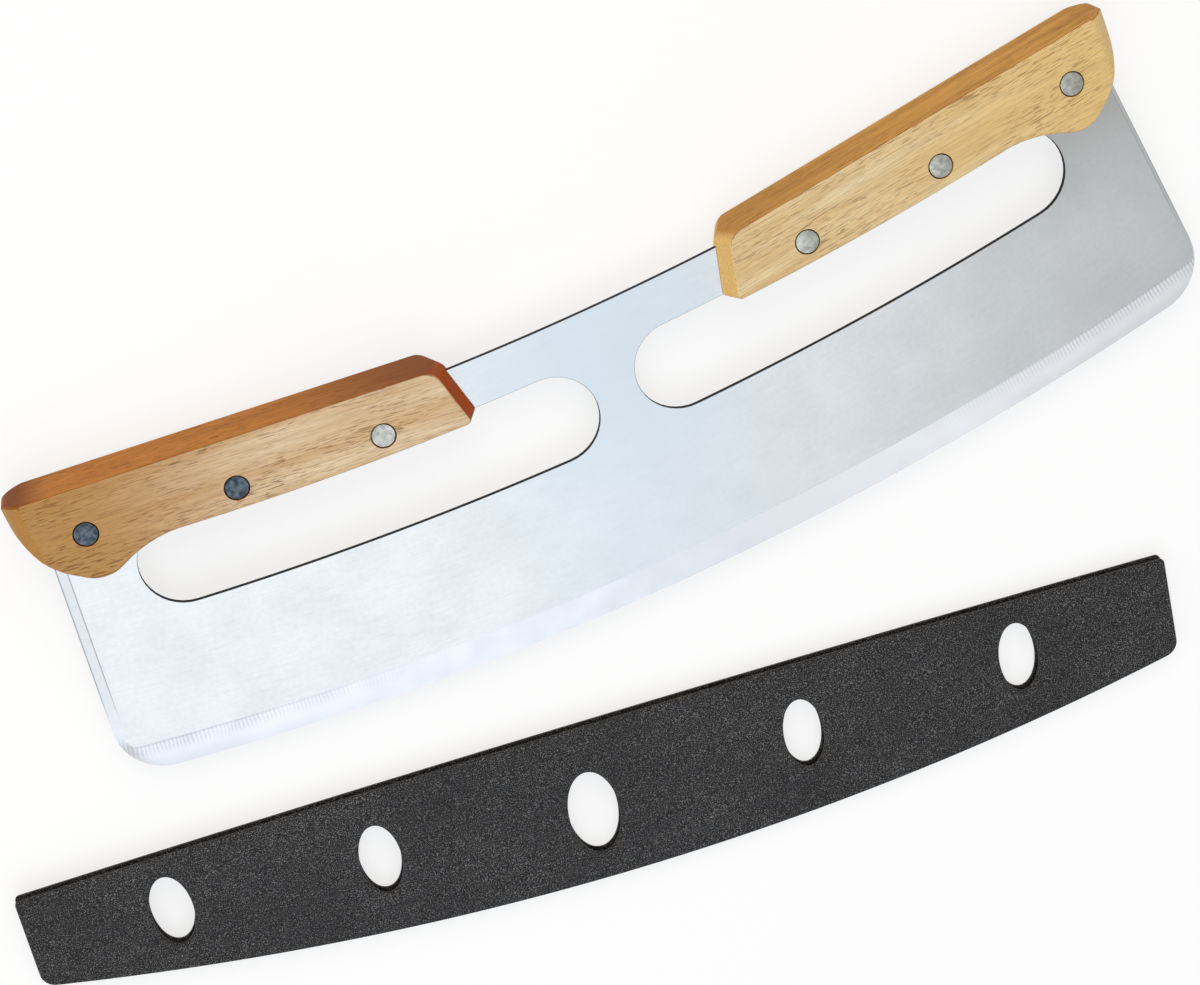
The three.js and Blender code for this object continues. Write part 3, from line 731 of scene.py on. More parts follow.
def side_steel(finishes, textures, blade):
    """The ground strips up the sides, whose dark outer and grey inner lines start above the corners."""
    finish = Finish("side_steel", metallic=1.0)
    chart, _, up = finish.chart()
    across = finish.attribute("strip")
    clear = finish.spread(up, blade.edge_corner, 2 * blade.edge_corner)
    clouds = finish.noise(chart, (textures.steel_speck, textures.steel_speck, 1), detail=3)
    outer = finish.spread(across, 0.04, 0.16, 0.9, 0.0)
    inner = finish.spread(across, 0.86, 0.93, 0.0, 0.75)
    lines = finish.math('MULTIPLY', finish.math('MAXIMUM', outer, inner), clear)
    pale = finish.mix(finish.spread(clouds, *NOISE_MOST, 0.0, 0.6), finishes.side, finishes.steel)
    pale = finish.mix(clear, finishes.ground, pale)
    finish.paint("Base Color", finish.mix(lines, pale, finishes.side_line))
    finish.paint("Roughness", finish.spread(clouds, *NOISE_ALL, 0.3, 0.42))
    return finish.material


def cut_steel(finishes):
    """The dark cut edges of the plate, with faint marks through its thickness."""
    finish = Finish("cut_steel", metallic=0.4)
    marks = finish.noise(finish.coordinates(), CUT_MARKS)
    pale = finish.spread(marks, 0.55, 0.95, 0, 0.3)
    finish.paint("Base Color", finish.mix(pale, finishes.cut_edge, finishes.tick))
    finish.paint("Roughness", finish.spread(marks, *NOISE_ALL, 0.5, 0.7))
    finish.shader.inputs["Specular IOR Level"].default_value = 0.15
    return finish.material


def oiled_wood(side, finishes, textures, rise):
    """Rubberwood: warm bands and short dark pores along the grain; its top is browner, a painted shade, and
    its ends and eased upper edge carry painted light and shade.
    """
    finish = Finish(f"{side}_wood")
    parts = ("pale", "warm", "outer", "round", "top", "end")
    shades = {part: getattr(finishes, f"{side}_{part}") for part in parts}
    pore_depth, shade_depth = getattr(finishes, f"{side}_pores"), getattr(finishes, f"{side}_shade")
    grain = finish.coordinates(turned=rise)
    bands = finish.noise(grain, (textures.band_length, textures.band_width, textures.band_width), detail=4)
    fibres = finish.noise(grain, (textures.fibre_length, textures.fibre_width, textures.fibre_width))
    pores = finish.noise(grain, (textures.pore_length, textures.pore_width, textures.pore_width), detail=1)
    crowds = finish.noise(grain, (textures.patch_length, textures.patch_width, textures.patch_width))
    crowded = finish.spread(crowds, 0.32, 0.62, 0.2, 1.0)
    pore = finish.math('MULTIPLY', finish.spread(pores, 0.54, 0.66), crowded)
    top, end, along, rim, outer_end = (
        finish.attribute(name) for name in ("top", "inner_end", "along", "rim", "outer_end")
    )
    face = finish.mix(finish.spread(bands, *NOISE_MOST), shades["pale"], shades["warm"])
    face = finish.mix(finish.spread(along, 0.3, 0.9, 0.0, 0.9), face, shades["outer"])
    # Painted light and shade: the rounded outer end takes its own colour, picked by the way it faces
    face = finish.mix(outer_end, face, shades["round"])
    # Painted shade: the top takes a darker colour of its own, with dark bands along the grain, darker still
    # towards its ends
    upper = finish.mix(finish.spread(bands, 0.35, 0.7, 0.0, 0.3), shades["top"], finishes.dark_wood_and_shade)
    upper = finish.mix(finish.spread(along, 0.0, 0.5, shade_depth, 0.0), upper, finishes.dark_wood_and_shade)
    upper = finish.mix(finish.spread(along, 0.88, 0.97, 0.0, shade_depth), upper, finishes.dark_wood_and_shade)
    # Painted light and shade: the inner end takes its own colour, dark on the left handle and bright on the
    # right
    wood = finish.mix(end, finish.mix(top, face, upper), shades["end"])
    # Painted shade: the eased edge between the top and the front face is darkened
    wood = finish.mix(finish.math('MULTIPLY', rim, 0.6), wood, finishes.dark_wood_and_shade)
    wood = finish.mix(finish.spread(fibres, *NOISE_MOST, 0.0, 0.22), wood, finishes.wood_pore)
    ends = finish.math('MAXIMUM', end, outer_end)
    pore = finish.math('MULTIPLY', pore, finish.spread(ends, 0.0, 1.0, pore_depth, 0.1))
    wood = finish.mix(pore, wood, finishes.wood_pore)
    finish.paint("Base Color", wood)
    finish.paint("Roughness", finish.spread(fibres, *NOISE_ALL, 0.38, 0.5))
    finish.paint("Specular IOR Level", finish.spread(finish.math('MAXIMUM', top, end), 0.0, 1.0, 0.25, 0.04))
    finish.bump(finish.math('SUBTRACT', fibres, pore), 0.25, 0.06 * MM)
    return finish.material


def rivet_steel(name, colour, depth, textures):
    """Turned steel with a soft mottling, so deep."""
    finish = Finish(name, metallic=1.0)
    grain = finish.noise(finish.coordinates(), (textures.rivet_grain,) * 3, detail=3)
    dark = tuple((1 - depth) * channel for channel in colour)
    finish.paint("Base Color", finish.mix(finish.spread(grain, *NOISE_MOST), colour, dark))
    finish.paint("Roughness", finish.spread(grain, *NOISE_ALL, 0.26, 0.4))
    finish.bump(grain, 0.1, 0.03 * MM)
    return finish.material


def grained_plastic(finishes, textures):
    """A fine moulded grain with pale specks."""
    finish = Finish("grained_plastic")
    place = finish.coordinates()
    grain = finish.noise(place, (textures.plastic_grain,) * 3, detail=2, roughness=0.6)
    clouds = finish.noise(place, (textures.plastic_cloud,) * 3, detail=3)
    cloudy = finish.spread(clouds, *NOISE_MOST, 0.7, 1.0)
    specks = finish.math('MULTIPLY', finish.spread(grain, 0.53, 0.67), cloudy)
    finish.paint("Base Color", finish.mix(specks, finishes.plastic, finishes.plastic_pale))
    finish.paint("Roughness", finish.spread(grain, *NOISE_MOST, 0.5, 0.68))
    finish.shader.inputs["Specular IOR Level"].default_value = 0.2
    finish.bump(grain, 0.3, 0.12 * MM)
    return finish.material


# The blade

SATIN, GROUND, SIDE, CUT = range(4)


def blade_form(blade):
    """The blade's plate between its rocking edge and its hollow spine."""
    foot = arc_height(blade.edge_radius, blade.edge_radius, blade.length / 2)
    return RockerForm(
        half=blade.length / 2, lean=blade.side_lean, foot=foot, floor=Vector((0, blade.edge_radius, 0)),
        floor_radius=blade.edge_radius, top=Vector((0, blade.height + blade.spine_radius, 0)),
        top_radius=blade.spine_radius, bow=1,
    )


def slot_centre_y(blade):
    """Height of the point about which both long sides of the slots run."""
    return blade.slot_floor + blade.slot_radius


def slot_loop(bm, blade, side, spare, height):
    """Draws one finger slot, wider all round by spare."""
    known = set(bm.edges)
    centre_y = slot_centre_y(blade)
    end_radius = blade.slot_height / 2
    middle = blade.slot_radius - end_radius
    inner = math.asin((blade.web / 2 + end_radius) / middle)
    outer = math.asin((blade.length / 2 - blade.slot_inset - end_radius) / middle)
    if side == "left":
        inner, outer = -outer, -inner
    floor = blade.slot_radius + spare
    centre = (0, centre_y, 0)
    start = bm.verts.new((floor * math.sin(inner), centre_y - floor * math.cos(inner), 0))
    point = spin_on(bm, start, centre, outer - inner, SLOT_ARC_STEPS)
    end = (middle * math.sin(outer), centre_y - middle * math.cos(outer), 0)
    point = spin_on(bm, point, end, math.pi, ROUND_END_STEPS)
    point = spin_on(bm, point, centre, inner - outer, SLOT_ARC_STEPS)
    end = (middle * math.sin(inner), centre_y - middle * math.cos(inner), 0)
    spin_on(bm, point, end, math.pi, ROUND_END_STEPS)
    return closed_loop(bm, known, height)


def rivet_places(blade, handles):
    """The middles of a handle's rivets, from the inner one outwards, on the right of the knife."""
    outer = blade.length / 2 - handles.rivet_inset
    upper_side = blade.slot_radius - blade.slot_height
    for index in range(len(RIVET_NAMES)):
        x = outer - handles.rivet_spacing * (len(RIVET_NAMES) - 1 - index)
        yield Vector((x, arc_height(slot_centre_y(blade), upper_side, x) + handles.rivet_height, 0))


def paint_faces(faces, index):
    """Gives some faces one of their piece's materials."""
    for face in faces:
        face.material_index = index


def map_along_edge(bm, radius):
    """Unrolls a mesh into a UV map of the distances along the cutting edge and up from it."""
    chart = bm.loops.layers.uv.new(EDGE_MAP)
    for face in bm.faces:
        for corner in face.loops:
            x, y = corner.vert.co.x, radius - corner.vert.co.y
            corner[chart].uv = (radius * math.atan2(x, y), radius - math.hypot(x, y))


def blade_mesh(blade, handles):
    """The front half of the plate, with its ground band, slots and rivet holes, mirrored to the back."""
    bm = bmesh.new()
    strip = bm.verts.layers.float.new("strip")
    form = blade_form(blade)
    half = blade.thickness / 2
    ease = blade.easing
    corners = (blade.edge_corner, blade.spine_corner)

    def above_edge(point):
        return point.y - arc_height(form.floor.y, form.floor_radius, point.x)

    def below_spine(point):
        return arc_height(form.top.y, form.top_radius, point.x) - point.y

    def rim_height(point):
        to_side = clamped(above_edge(point) / blade.edge_corner)
        to_spine = clamped(1 - below_spine(point) / blade.spine_corner)
        edge, side = blade.edge_thickness / 2, blade.side_thickness / 2
        low = edge + (side - edge) * to_side
        return low + (half - ease - low) * to_spine

    middle = rocker_loop(bm, form, (0, 0, 0, 0), corners)
    insets = (blade.grind_width, blade.left_strip, blade.right_strip, ease)
    ground = rocker_loop(bm, form, insets, (blade.grind_corner, blade.spine_corner), half)
    for vert in ends_of(ground):
        vert[strip] = 1
    throats = [slot_loop(bm, blade, side, 0, 0) for side in HANDLE_SIDES]
    mouths = [slot_loop(bm, blade, side, ease, half) for side in HANDLE_SIDES]
    bore = handles.barrel_diameter + 2 * handles.fit
    holes = []
    for place in rivet_places(blade, handles):
        for way in (-1, 1):
            holes.append(oval_loop(bm, Vector((way * place.x, place.y, 0)), bore, bore, RIVET_STEPS, half))
    rim, wall = lifted(bm, middle, rim_height)
    for face in wall + bridged(bm, rim, ground):
        centre = face.calc_center_median()
        if below_spine(centre) < blade.spine_corner / 2:
            face.material_index = CUT
        elif above_edge(centre) > blade.edge_corner:
            face.material_index = SIDE
        else:
            face.material_index = GROUND
    for throat, mouth in zip(throats, mouths):
        neck, wall = lifted(bm, throat, lambda point: half - ease)
        paint_faces(wall + bridged(bm, neck, mouth), CUT)
    for hole in holes:
        _, wall = lifted(bm, hole, lambda point: 0)
        paint_faces(wall, CUT)
    paint_faces(filled(bm, [ground, *mouths, *holes]), SATIN)
    both_faces(bm)
    for edge in bm.edges:
        edge.smooth = len({face.material_index for face in edge.link_faces}) == 1
    map_along_edge(bm, blade.edge_radius)
    return bm


class ROCKERKNIFE_OT_blade(bpy.types.Operator):
    """Makes the steel plate with its ground edge, finger slots and rivet holes"""
    bl_idname = "rocker_knife.blade"
    bl_label = "Blade"

    def execute(self, context):
        knife = context.scene.rocker_knife
        materials = [
            satin_steel(knife.finishes, knife.textures, knife.blade),
            ground_steel(knife.finishes, knife.textures, knife.blade),
            side_steel(knife.finishes, knife.textures, knife.blade),
            cut_steel(knife.finishes),
        ]
        mesh = blade_mesh(knife.blade, knife.handles)
        place = knife_place(knife.sheath)
        add_piece(context, "blade_plate", mesh, place, "knife", "blade", materials)
        return {'FINISHED'}


# The handles

# The wood's colour changes with the way each face looks, to paint light and shade on the tops and ends
# A face counts as top or end from the cosine of its tilt at START, and wholly so SPAN further on
TOP_START, TOP_SPAN = 0.35, 0.5
INNER_START, INNER_SPAN = 0.6, 0.3
OUTER_START, OUTER_SPAN = 0.1, 0.4
# The eased edge between top and face gets painted shade
RIM_LOW, RIM_HIGH = 0.3, 0.75  # cosines of the eased edge between top and face


def handle_top(handles, x):
    """Height of a handle's straight top above the cutting edge."""
    return handles.top + (x - handles.inner_end) * math.tan(handles.rise)


def top_normal(handles):
    """The way that the right handle's top looks."""
    return Vector((-math.sin(handles.rise), math.cos(handles.rise), 0))


def handle_face(bm, blade, handles, outer_x):
    """Draws the right handle's outline as one face: grip, hollow, lobe, outer end, top and inner end.

    Returns the inner end's lower corner and the grip's slope there.
    """
    centre_y = slot_centre_y(blade)
    upper_side = blade.slot_radius - blade.slot_height
    grip = upper_side + handles.drop
    inner = Vector((handles.inner_end, arc_height(centre_y, grip, handles.inner_end), 0))
    lobe_x = blade.length / 2 - handles.lobe_inset
    lobe_y = arc_height(centre_y, upper_side, lobe_x) - handles.lobe_depth
    hollow_x = lobe_x - handles.hollow_length
    crest_x = hollow_x + handles.hollow_crest
    crest_y = arc_height(centre_y, grip, hollow_x) + handles.hollow_crest * hollow_x / grip
    climb = math.tan(handles.rise) * math.tan(handles.end_lean)
    end_y = (handle_top(handles, handles.inner_end) - climb * inner.y) / (1 - climb)
    end_x = handles.inner_end + math.tan(handles.end_lean) * (end_y - inner.y)
    heel = bm.verts.new(inner)
    grip_x = handles.inner_end + handles.end_slope + 2 * handles.heel_corner
    start = line_on(bm, heel, (grip_x, arc_height(centre_y, grip, grip_x), 0))
    sweep = math.asin(hollow_x / grip) - math.asin(grip_x / grip)
    point = spin_on(bm, start, (0, centre_y, 0), sweep, SLOT_ARC_STEPS)
    turns = (
        ((crest_x, crest_y, 0), handles.hollow_rounding),
        ((lobe_x, lobe_y, 0), handles.lobe_rounding),
        ((outer_x, lobe_y + handles.shoulder, 0), handles.shoulder_rounding),
        ((outer_x, handle_top(handles, outer_x), 0), handles.top_corner),
        ((end_x, end_y, 0), handles.end_corner),
    )
    corners = [(heel, handles.heel_corner)]
    for place, reach in turns:
        point = line_on(bm, point, place)
        corners.append((point, reach))
    bm.edges.new((point, heel))
    bmesh.ops.contextual_create(bm, geom=bm.edges[:])
    for corner, reach in corners:
        round_corner(bm, corner, reach)
    return inner, inner.x / grip


def trimmed(bm, place, normal):
    """Cuts off what lies in front of a plane, and closes the cut."""
    made = bmesh.ops.bisect_plane(
        bm, geom=all_of(bm), dist=CUT_SNAP, plane_co=place, plane_no=normal, clear_outer=True,
    )["geom_cut"]
    rim = of_kind(bmesh.types.BMEdge, made)
    if rim:
        bmesh.ops.contextual_create(bm, geom=rim)


def crowned(bm, handles, outer_x):
    """Rounds a front half's outer end back to its face, and the corner between that end and the top."""
    half, crown, rounding = handles.thickness / 2, handles.crown, handles.crown_corner
    radius = (half * half + crown * crown) / (2 * crown)
    widest = math.asin(half / radius)
    up = top_normal(handles)
    for step in range(1, CROWN_STEPS + 1):
        angle = widest * step / CROWN_STEPS
        way = Vector((math.cos(angle), 0, math.sin(angle)))
        touch = Vector((outer_x - radius, 0, 0)) + radius * way
        trimmed(bm, touch, way)
        if step >= CROWN_STEPS / 2:
            corner = Vector((touch.x, handle_top(handles, touch.x), touch.z))
            centre = corner - (way + up) * rounding / (1 + way.dot(up))
            for part in CORNER_PARTS:
                lean = way.slerp(up, part)
                trimmed(bm, centre + rounding * lean, lean)


def slope_inner_end(bm, handles, front, inner, grip_slope):
    """Slides the front of the inner end back, its upper corner along the top and its heel along the grip."""
    inward = Vector((math.cos(handles.end_lean), -math.sin(handles.end_lean), 0))
    end = [vert for vert in front if (vert.co - inner).dot(inward) < handles.end_corner]
    waist = (inner.y + handle_top(handles, handles.inner_end)) / 2
    for upper, slope in ((True, math.tan(handles.rise)), (False, grip_slope)):
        corner = [vert for vert in end if (vert.co.y > waist) == upper]
        bmesh.ops.translate(bm, verts=corner, vec=Vector((1, slope, 0)) * handles.end_slope)


def rivet_seat(bm, handles, place):
    """Sinks a rivet's seat and bore into the front of a handle, and returns the seat's mouth."""
    half = handles.thickness / 2
    seat = handles.head_diameter + 2 * handles.fit
    bore = handles.barrel_diameter + 2 * handles.fit
    floor = half - handles.head_thickness - handles.fit
    mouth = oval_loop(bm, place, seat, seat, RIVET_STEPS, half)
    foot, _ = lifted(bm, mouth, lambda point: floor)
    throat = stepped(bm, foot, place, (bore / seat, bore / seat), floor)
    lifted(bm, throat, lambda point: 0)
    return mouth


def handle_mesh(blade, handles, outer_x):
    """The front half of the right handle with its eased edges and rivet seats, mirrored to the back."""
    bm = bmesh.new()
    inner, grip_slope = handle_face(bm, blade, handles, outer_x)
    half = handles.thickness / 2
    front = thickened(bm, half)
    middle = [face for face in bm.faces if all(vert.co.z < WELD for vert in face.verts)]
    bmesh.ops.delete(bm, geom=middle, context='FACES_ONLY')
    slope_inner_end(bm, handles, front, inner, grip_slope)
    crowned(bm, handles, outer_x)
    bmesh.ops.recalc_face_normals(bm, faces=bm.faces[:])
    crisp = [
        edge for edge in bm.edges
        if edge.is_manifold and all(vert.co.z > half - WELD for vert in edge.verts)
    ]
    bmesh.ops.bevel(
        bm, geom=crisp, offset=handles.easing, offset_type='OFFSET', affect='EDGES', segments=EASE_STEPS,
        profile=0.5, material=-1, clamp_overlap=True,
    )
    broad = max(bm.faces, key=lambda face: face.calc_area())
    rim = list(broad.edges)
    bmesh.ops.delete(bm, geom=[broad], context='FACES_ONLY')
    mouths = [rivet_seat(bm, handles, place) for place in rivet_places(blade, handles)]
    filled(bm, [rim, *mouths])
    both_faces(bm)
    return bm


def kerf_mesh(blade, fit):
    """The blade's plate with clearance all round, for sawing the handles."""
    bm = bmesh.new()
    corners = (blade.edge_corner + fit, blade.spine_corner + fit)
    rocker_loop(bm, blade_form(blade), (-fit,) * 4, corners, -blade.thickness / 2 - fit)
    bmesh.ops.contextual_create(bm, geom=bm.edges[:])
    thickened(bm, blade.thickness + 2 * fit)
    bmesh.ops.recalc_face_normals(bm, faces=bm.faces[:])
    return bm


def tone_wood(bm, handles, outer_x):
    """Marks the right handle's top, ends and upper front edge, where the wood's colour paints light and
    shade, and how far along it each point lies.
    """
    up = top_normal(handles)
    inward = Vector((-math.cos(handles.end_lean), math.sin(handles.end_lean), 0))
    top = bm.faces.layers.float.new("top")
    inner_end = bm.faces.layers.float.new("inner_end")
    outer_end = bm.faces.layers.float.new("outer_end")
    rim = bm.faces.layers.float.new("rim")
    along = bm.verts.layers.float.new("along")
    # These marks pick the painted light and shade of the wood's colour
    for face in bm.faces:
        face.normal_update()
        lift = face.normal.dot(up)
        face[top] = clamped((lift - TOP_START) / TOP_SPAN)
        face[inner_end] = clamped((face.normal.dot(inward) - INNER_START) / INNER_SPAN)
        face[outer_end] = clamped((face.normal.x - OUTER_START) / OUTER_SPAN)
        # Painted shade goes on the eased edge between top and face
        face[rim] = face[inner_end] == 0 and RIM_LOW < lift < RIM_HIGH
    for vert in bm.verts:
        vert[along] = (vert.co.x - handles.inner_end) / (outer_x - handles.inner_end)


class ROCKERKNIFE_OT_handles(bpy.types.Operator):
    """Makes the two wooden handles, sawn to take the blade's tang"""
    bl_idname = "rocker_knife.handles"
    bl_label = "Handles"

    def execute(self, context):
        knife = context.scene.rocker_knife
        blade, handles = knife.blade, knife.handles
        for side, way in zip(HANDLE_SIDES, (-1, 1)):
            outer_x = blade.length / 2 - getattr(handles, f"{side}_inset")
            bar = carved(context, handle_mesh(blade, handles, outer_x), kerf_mesh(blade, handles.fit))
            tone_wood(bar, handles, outer_x)
            if way < 0:
                bmesh.ops.scale(bar, verts=bar.verts[:], vec=(-1, 1, 1))
                bmesh.ops.reverse_faces(bar, faces=bar.faces[:])
            material = oiled_wood(side, knife.finishes, knife.textures, way * handles.rise)
            add_piece(
                context, f"{side}_handle_bar", bar, knife_place(knife.sheath), "knife", f"{side}_handle",
                [material],
            )
        return {'FINISHED'}


# The rivets


def rivet_profiles(handles):
    """Radii and heights along the profiles of a rivet's hollow front half and its solid back half."""
    half = handles.thickness / 2
    head = handles.head_diameter / 2
    under = half - handles.head_thickness
    crown = half + handles.head_dome
    barrel = handles.barrel_diameter / 2
    shank = handles.shank_diameter / 2
    bore = shank + handles.fit
    barrel_end = handles.barrel_gap - under
    bore_end = under - handles.bore_end
    shank_end = bore_end - handles.shank_gap
    cap = ((0, crown), (head / 2, crown - handles.head_dome / 3), (head, half), (head, under))
    back_cap = ((radius, -height) for radius, height in cap)
    front = (*cap, (barrel, under), (barrel, barrel_end), (bore, barrel_end), (bore, bore_end), (0, bore_end))
    back = (*back_cap, (shank, -under), (shank, shank_end), (0, shank_end))
    return front, back


def turned_mesh(place, profile, rounded, easing):
    """Spins a profile of radii and heights about a rivet's axis, with one corner of it rounded."""
    bm = bmesh.new()
    points = [bm.verts.new((place.x + radius, place.y, height)) for radius, height in profile]
    for first, second in zip(points, points[1:]):
        bm.edges.new((first, second))
    bmesh.ops.spin(
        bm, geom=bm.verts[:] + bm.edges[:], cent=(place.x, place.y, 0), axis=(0, 0, 1), angle=2 * math.pi,
        steps=RIVET_STEPS, use_merge=True,
    )
    bmesh.ops.remove_doubles(bm, verts=bm.verts[:], dist=WELD)
    bmesh.ops.recalc_face_normals(bm, faces=bm.faces[:])
    rim = [
        edge for edge in bm.edges
        if all(abs(abs(vert.co.z) - rounded[1]) < WELD for vert in edge.verts)
        and all(abs((vert.co.xy - place.xy).length - rounded[0]) < WELD for vert in edge.verts)
    ]
    bmesh.ops.bevel(
        bm, geom=rim, offset=easing, offset_type='OFFSET', affect='EDGES', segments=RIM_STEPS, profile=0.5,
        material=-1,
    )
    return bm


class ROCKERKNIFE_OT_rivets(bpy.types.Operator):
    """Makes the six two-part rivets: a hollow half from the front and a solid half from the back"""
    bl_idname = "rocker_knife.rivets"
    bl_label = "Rivets"

    def execute(self, context):
        knife = context.scene.rocker_knife
        handles = knife.handles
        rim = (handles.head_diameter / 2, handles.thickness / 2)
        front, back = rivet_profiles(handles)
        finishes, textures = knife.finishes, knife.textures
        bright = rivet_steel("bright_rivet", finishes.rivet, finishes.rivet_mottle, textures)
        dull = rivet_steel("dull_rivet", finishes.rivet_dark, finishes.dull_mottle, textures)
        lying = knife_place(knife.sheath)
        for side, way in zip(HANDLE_SIDES, (-1, 1)):
            for name, place in zip(RIVET_NAMES, rivet_places(knife.blade, handles)):
                middle = Vector((way * place.x, place.y, 0))
                steel = dull if side == "left" and name != "inner" else bright
                for end, node, profile in (("front", "barrel", front), ("back", "shank", back)):
                    piece, cad = f"{side}_{name}_rivet_{end}", f"{side}_{name}_rivet_{node}"
                    mesh = turned_mesh(middle, profile, rim, handles.head_easing)
                    add_piece(context, piece, mesh, lying, "knife", cad, [steel])
        return {'FINISHED'}


# The sheath


def mouth_height(sheath):
    """Height of the middle of the sheath's mouth above the cutting edge."""
    return sheath.height - sheath.floor - sheath.channel_floor


def sheath_form(blade, sheath):
    """The sheath's wall between its round lower edge and its mouth."""
    half = blade.length / 2 + sheath.overhang
    radius = blade.edge_radius - sheath.arc_tuck
    floor = Vector((sheath.arc_shift, radius - sheath.channel_floor - sheath.floor, 0))
    mouth_radius = (half * half + sheath.mouth_crown * sheath.mouth_crown) / (2 * sheath.mouth_crown)
    return RockerForm(
        half=half, lean=0, foot=0, floor=floor, floor_radius=radius,
        top=Vector((0, mouth_height(sheath) - mouth_radius, 0)), top_radius=mouth_radius, bow=-1,
    )


def sheath_holes(blade, sheath):
    """The place, width and height of each oval hole."""
    half = blade.length / 2 + sheath.overhang
    pitch = (half - sheath.hole_inset) / sheath.holes_per_end
    for index in range(-sheath.holes_per_end, sheath.holes_per_end + 1):
        x = index * pitch + index * index * sheath.row_drift + sheath.row_shift
        low = arc_height(blade.edge_radius, blade.edge_radius + sheath.channel_floor, x)
        width, height = sheath.side_hole if index else sheath.centre_hole
        drop = sheath.side_drop if index else sheath.centre_drop
        yield Vector((x, (low + mouth_height(sheath)) / 2 - drop, 0)), width, height


def sheath_mesh(blade, sheath):
    """The front half of the sheath with its thin hem and oval holes, mirrored to the back."""
    bm = bmesh.new()
    form = sheath_form(blade, sheath)
    half = sheath.thickness / 2
    ease = sheath.easing
    soft = SOFT_PART * ease
    corners = (sheath.corner, sheath.mouth_corner)
    hem = half - sheath.hem_depth

    def wall_height(low, high):
        def at(point):
            above = point.y - arc_height(form.floor.y, form.floor_radius, point.x - form.floor.x)
            return low + (high - low) * clamped(above / sheath.hem_width)
        return at

    middle = rocker_loop(bm, form, (0, 0, 0, 0), corners)
    shoulder = rocker_loop(bm, form, (soft,) * 4, (sheath.corner - soft, sheath.mouth_corner - soft))
    insets = (sheath.hem_width, ease, ease, ease)
    face_rim = rocker_loop(bm, form, insets, (sheath.corner - ease, sheath.mouth_corner - ease), half)
    for vert in ends_of(shoulder):
        vert.co.z = wall_height(hem - soft, half - soft)(vert.co)
    mouths = []
    for place, width, height in sheath_holes(blade, sheath):
        mouths.append(oval_loop(bm, place, width + 2 * ease, height + 2 * ease, HOLE_STEPS, half))
    rim, _ = lifted(bm, middle, wall_height(hem - ease, half - ease))
    bridged(bm, rim, shoulder)
    bridged(bm, shoulder, face_rim)
    for mouth, (place, width, height) in zip(mouths, sheath_holes(blade, sheath)):
        wide = (width + 2 * ease, height + 2 * ease)
        mid = (width + 2 * soft, height + 2 * soft)
        neck = stepped(bm, mouth, place, (mid[0] / wide[0], mid[1] / wide[1]), half - soft)
        throat = stepped(bm, neck, place, (width / mid[0], height / mid[1]), half - ease)
        lifted(bm, throat, lambda point: 0)
    filled(bm, [face_rim, *mouths])
    both_faces(bm)
    return bm


def channel_mesh(blade, sheath):
    """The space that the blade slides into, open at the mouth and at both ends."""
    bm = bmesh.new()
    clear = sheath.overhang
    radius = blade.edge_radius + sheath.channel_floor
    reach = blade.length / 2 + sheath.overhang + clear
    low = arc_height(blade.edge_radius, radius, reach)
    start = bm.verts.new((-reach, low, -sheath.channel / 2))
    sweep = 2 * math.asin(reach / radius)
    point = spin_on(bm, start, (0, blade.edge_radius, 0), sweep, LONG_ARC_STEPS)
    top = max(low, sheath.height) + clear
    point = line_on(bm, point, (reach, top, -sheath.channel / 2))
    point = line_on(bm, point, (-reach, top, -sheath.channel / 2))
    bm.edges.new((point, start))
    bmesh.ops.contextual_create(bm, geom=bm.edges[:])
    thickened(bm, sheath.channel)
    bmesh.ops.recalc_face_normals(bm, faces=bm.faces[:])
    return bm


class ROCKERKNIFE_OT_sheath(bpy.types.Operator):
    """Makes the moulded sheath with its channel for the blade"""
    bl_idname = "rocker_knife.sheath"
    bl_label = "Sheath"

    def execute(self, context):
        knife = context.scene.rocker_knife
        wall = sheath_mesh(knife.blade, knife.sheath)
        shell = carved(context, wall, channel_mesh(knife.blade, knife.sheath))
        place = sheath_place(knife.sheath)
        plastic = grained_plastic(knife.finishes, knife.textures)
        add_piece(context, "sheath_shell", shell, place, "sheath", "sheath", [plastic])
        return {'FINISHED'}


# The stage


def white_world(context, stage):
    """Even light from all round, which looks white to the camera and in the steel."""
    world = bpy.data.worlds.new("studio")
    tree = NodeTree(world)
    strength = tree.add('ShaderNodeMapRange', {"Value": tree.seen(), "To Min": stage.ambient})
    background = tree.add('ShaderNodeBackground', {"Color": WHITE, "Strength": strength.outputs["Result"]})
    tree.add('ShaderNodeOutputWorld', {"Surface": background.outputs["Background"]})
    context.scene.world = world


def table_finish(finishes, stage):
    """A plain pale table, which glows a little for the camera, so that it is white around the shadow."""
    finish = Finish("pale_table", roughness=0.9)
    finish.shader.inputs["Base Color"].default_value = (*finishes.floor, 1)
    finish.shader.inputs["Specular IOR Level"].default_value = 0
    finish.shader.inputs["Emission Color"].default_value = WHITE
    finish.paint("Emission Strength", finish.math('MULTIPLY', finish.seen(), stage.glow))
    return finish.material


def set_table(context, knife):
    """A wide flat table, just under the knife."""
    stage = knife.stage
    bm = bmesh.new()
    lowered = Matrix.Translation((0, 0, cad_bounds[0][2] - stage.floor_gap))
    bmesh.ops.create_grid(bm, x_segments=1, y_segments=1, size=stage.floor_span / 2, matrix=lowered)
    mesh = bpy.data.meshes.new("table")
    bm.to_mesh(mesh)
    bm.free()
    mesh.materials.append(table_finish(knife.finishes, stage))
    table = bpy.data.objects.new("table", mesh)
    context.collection.objects.link(table)


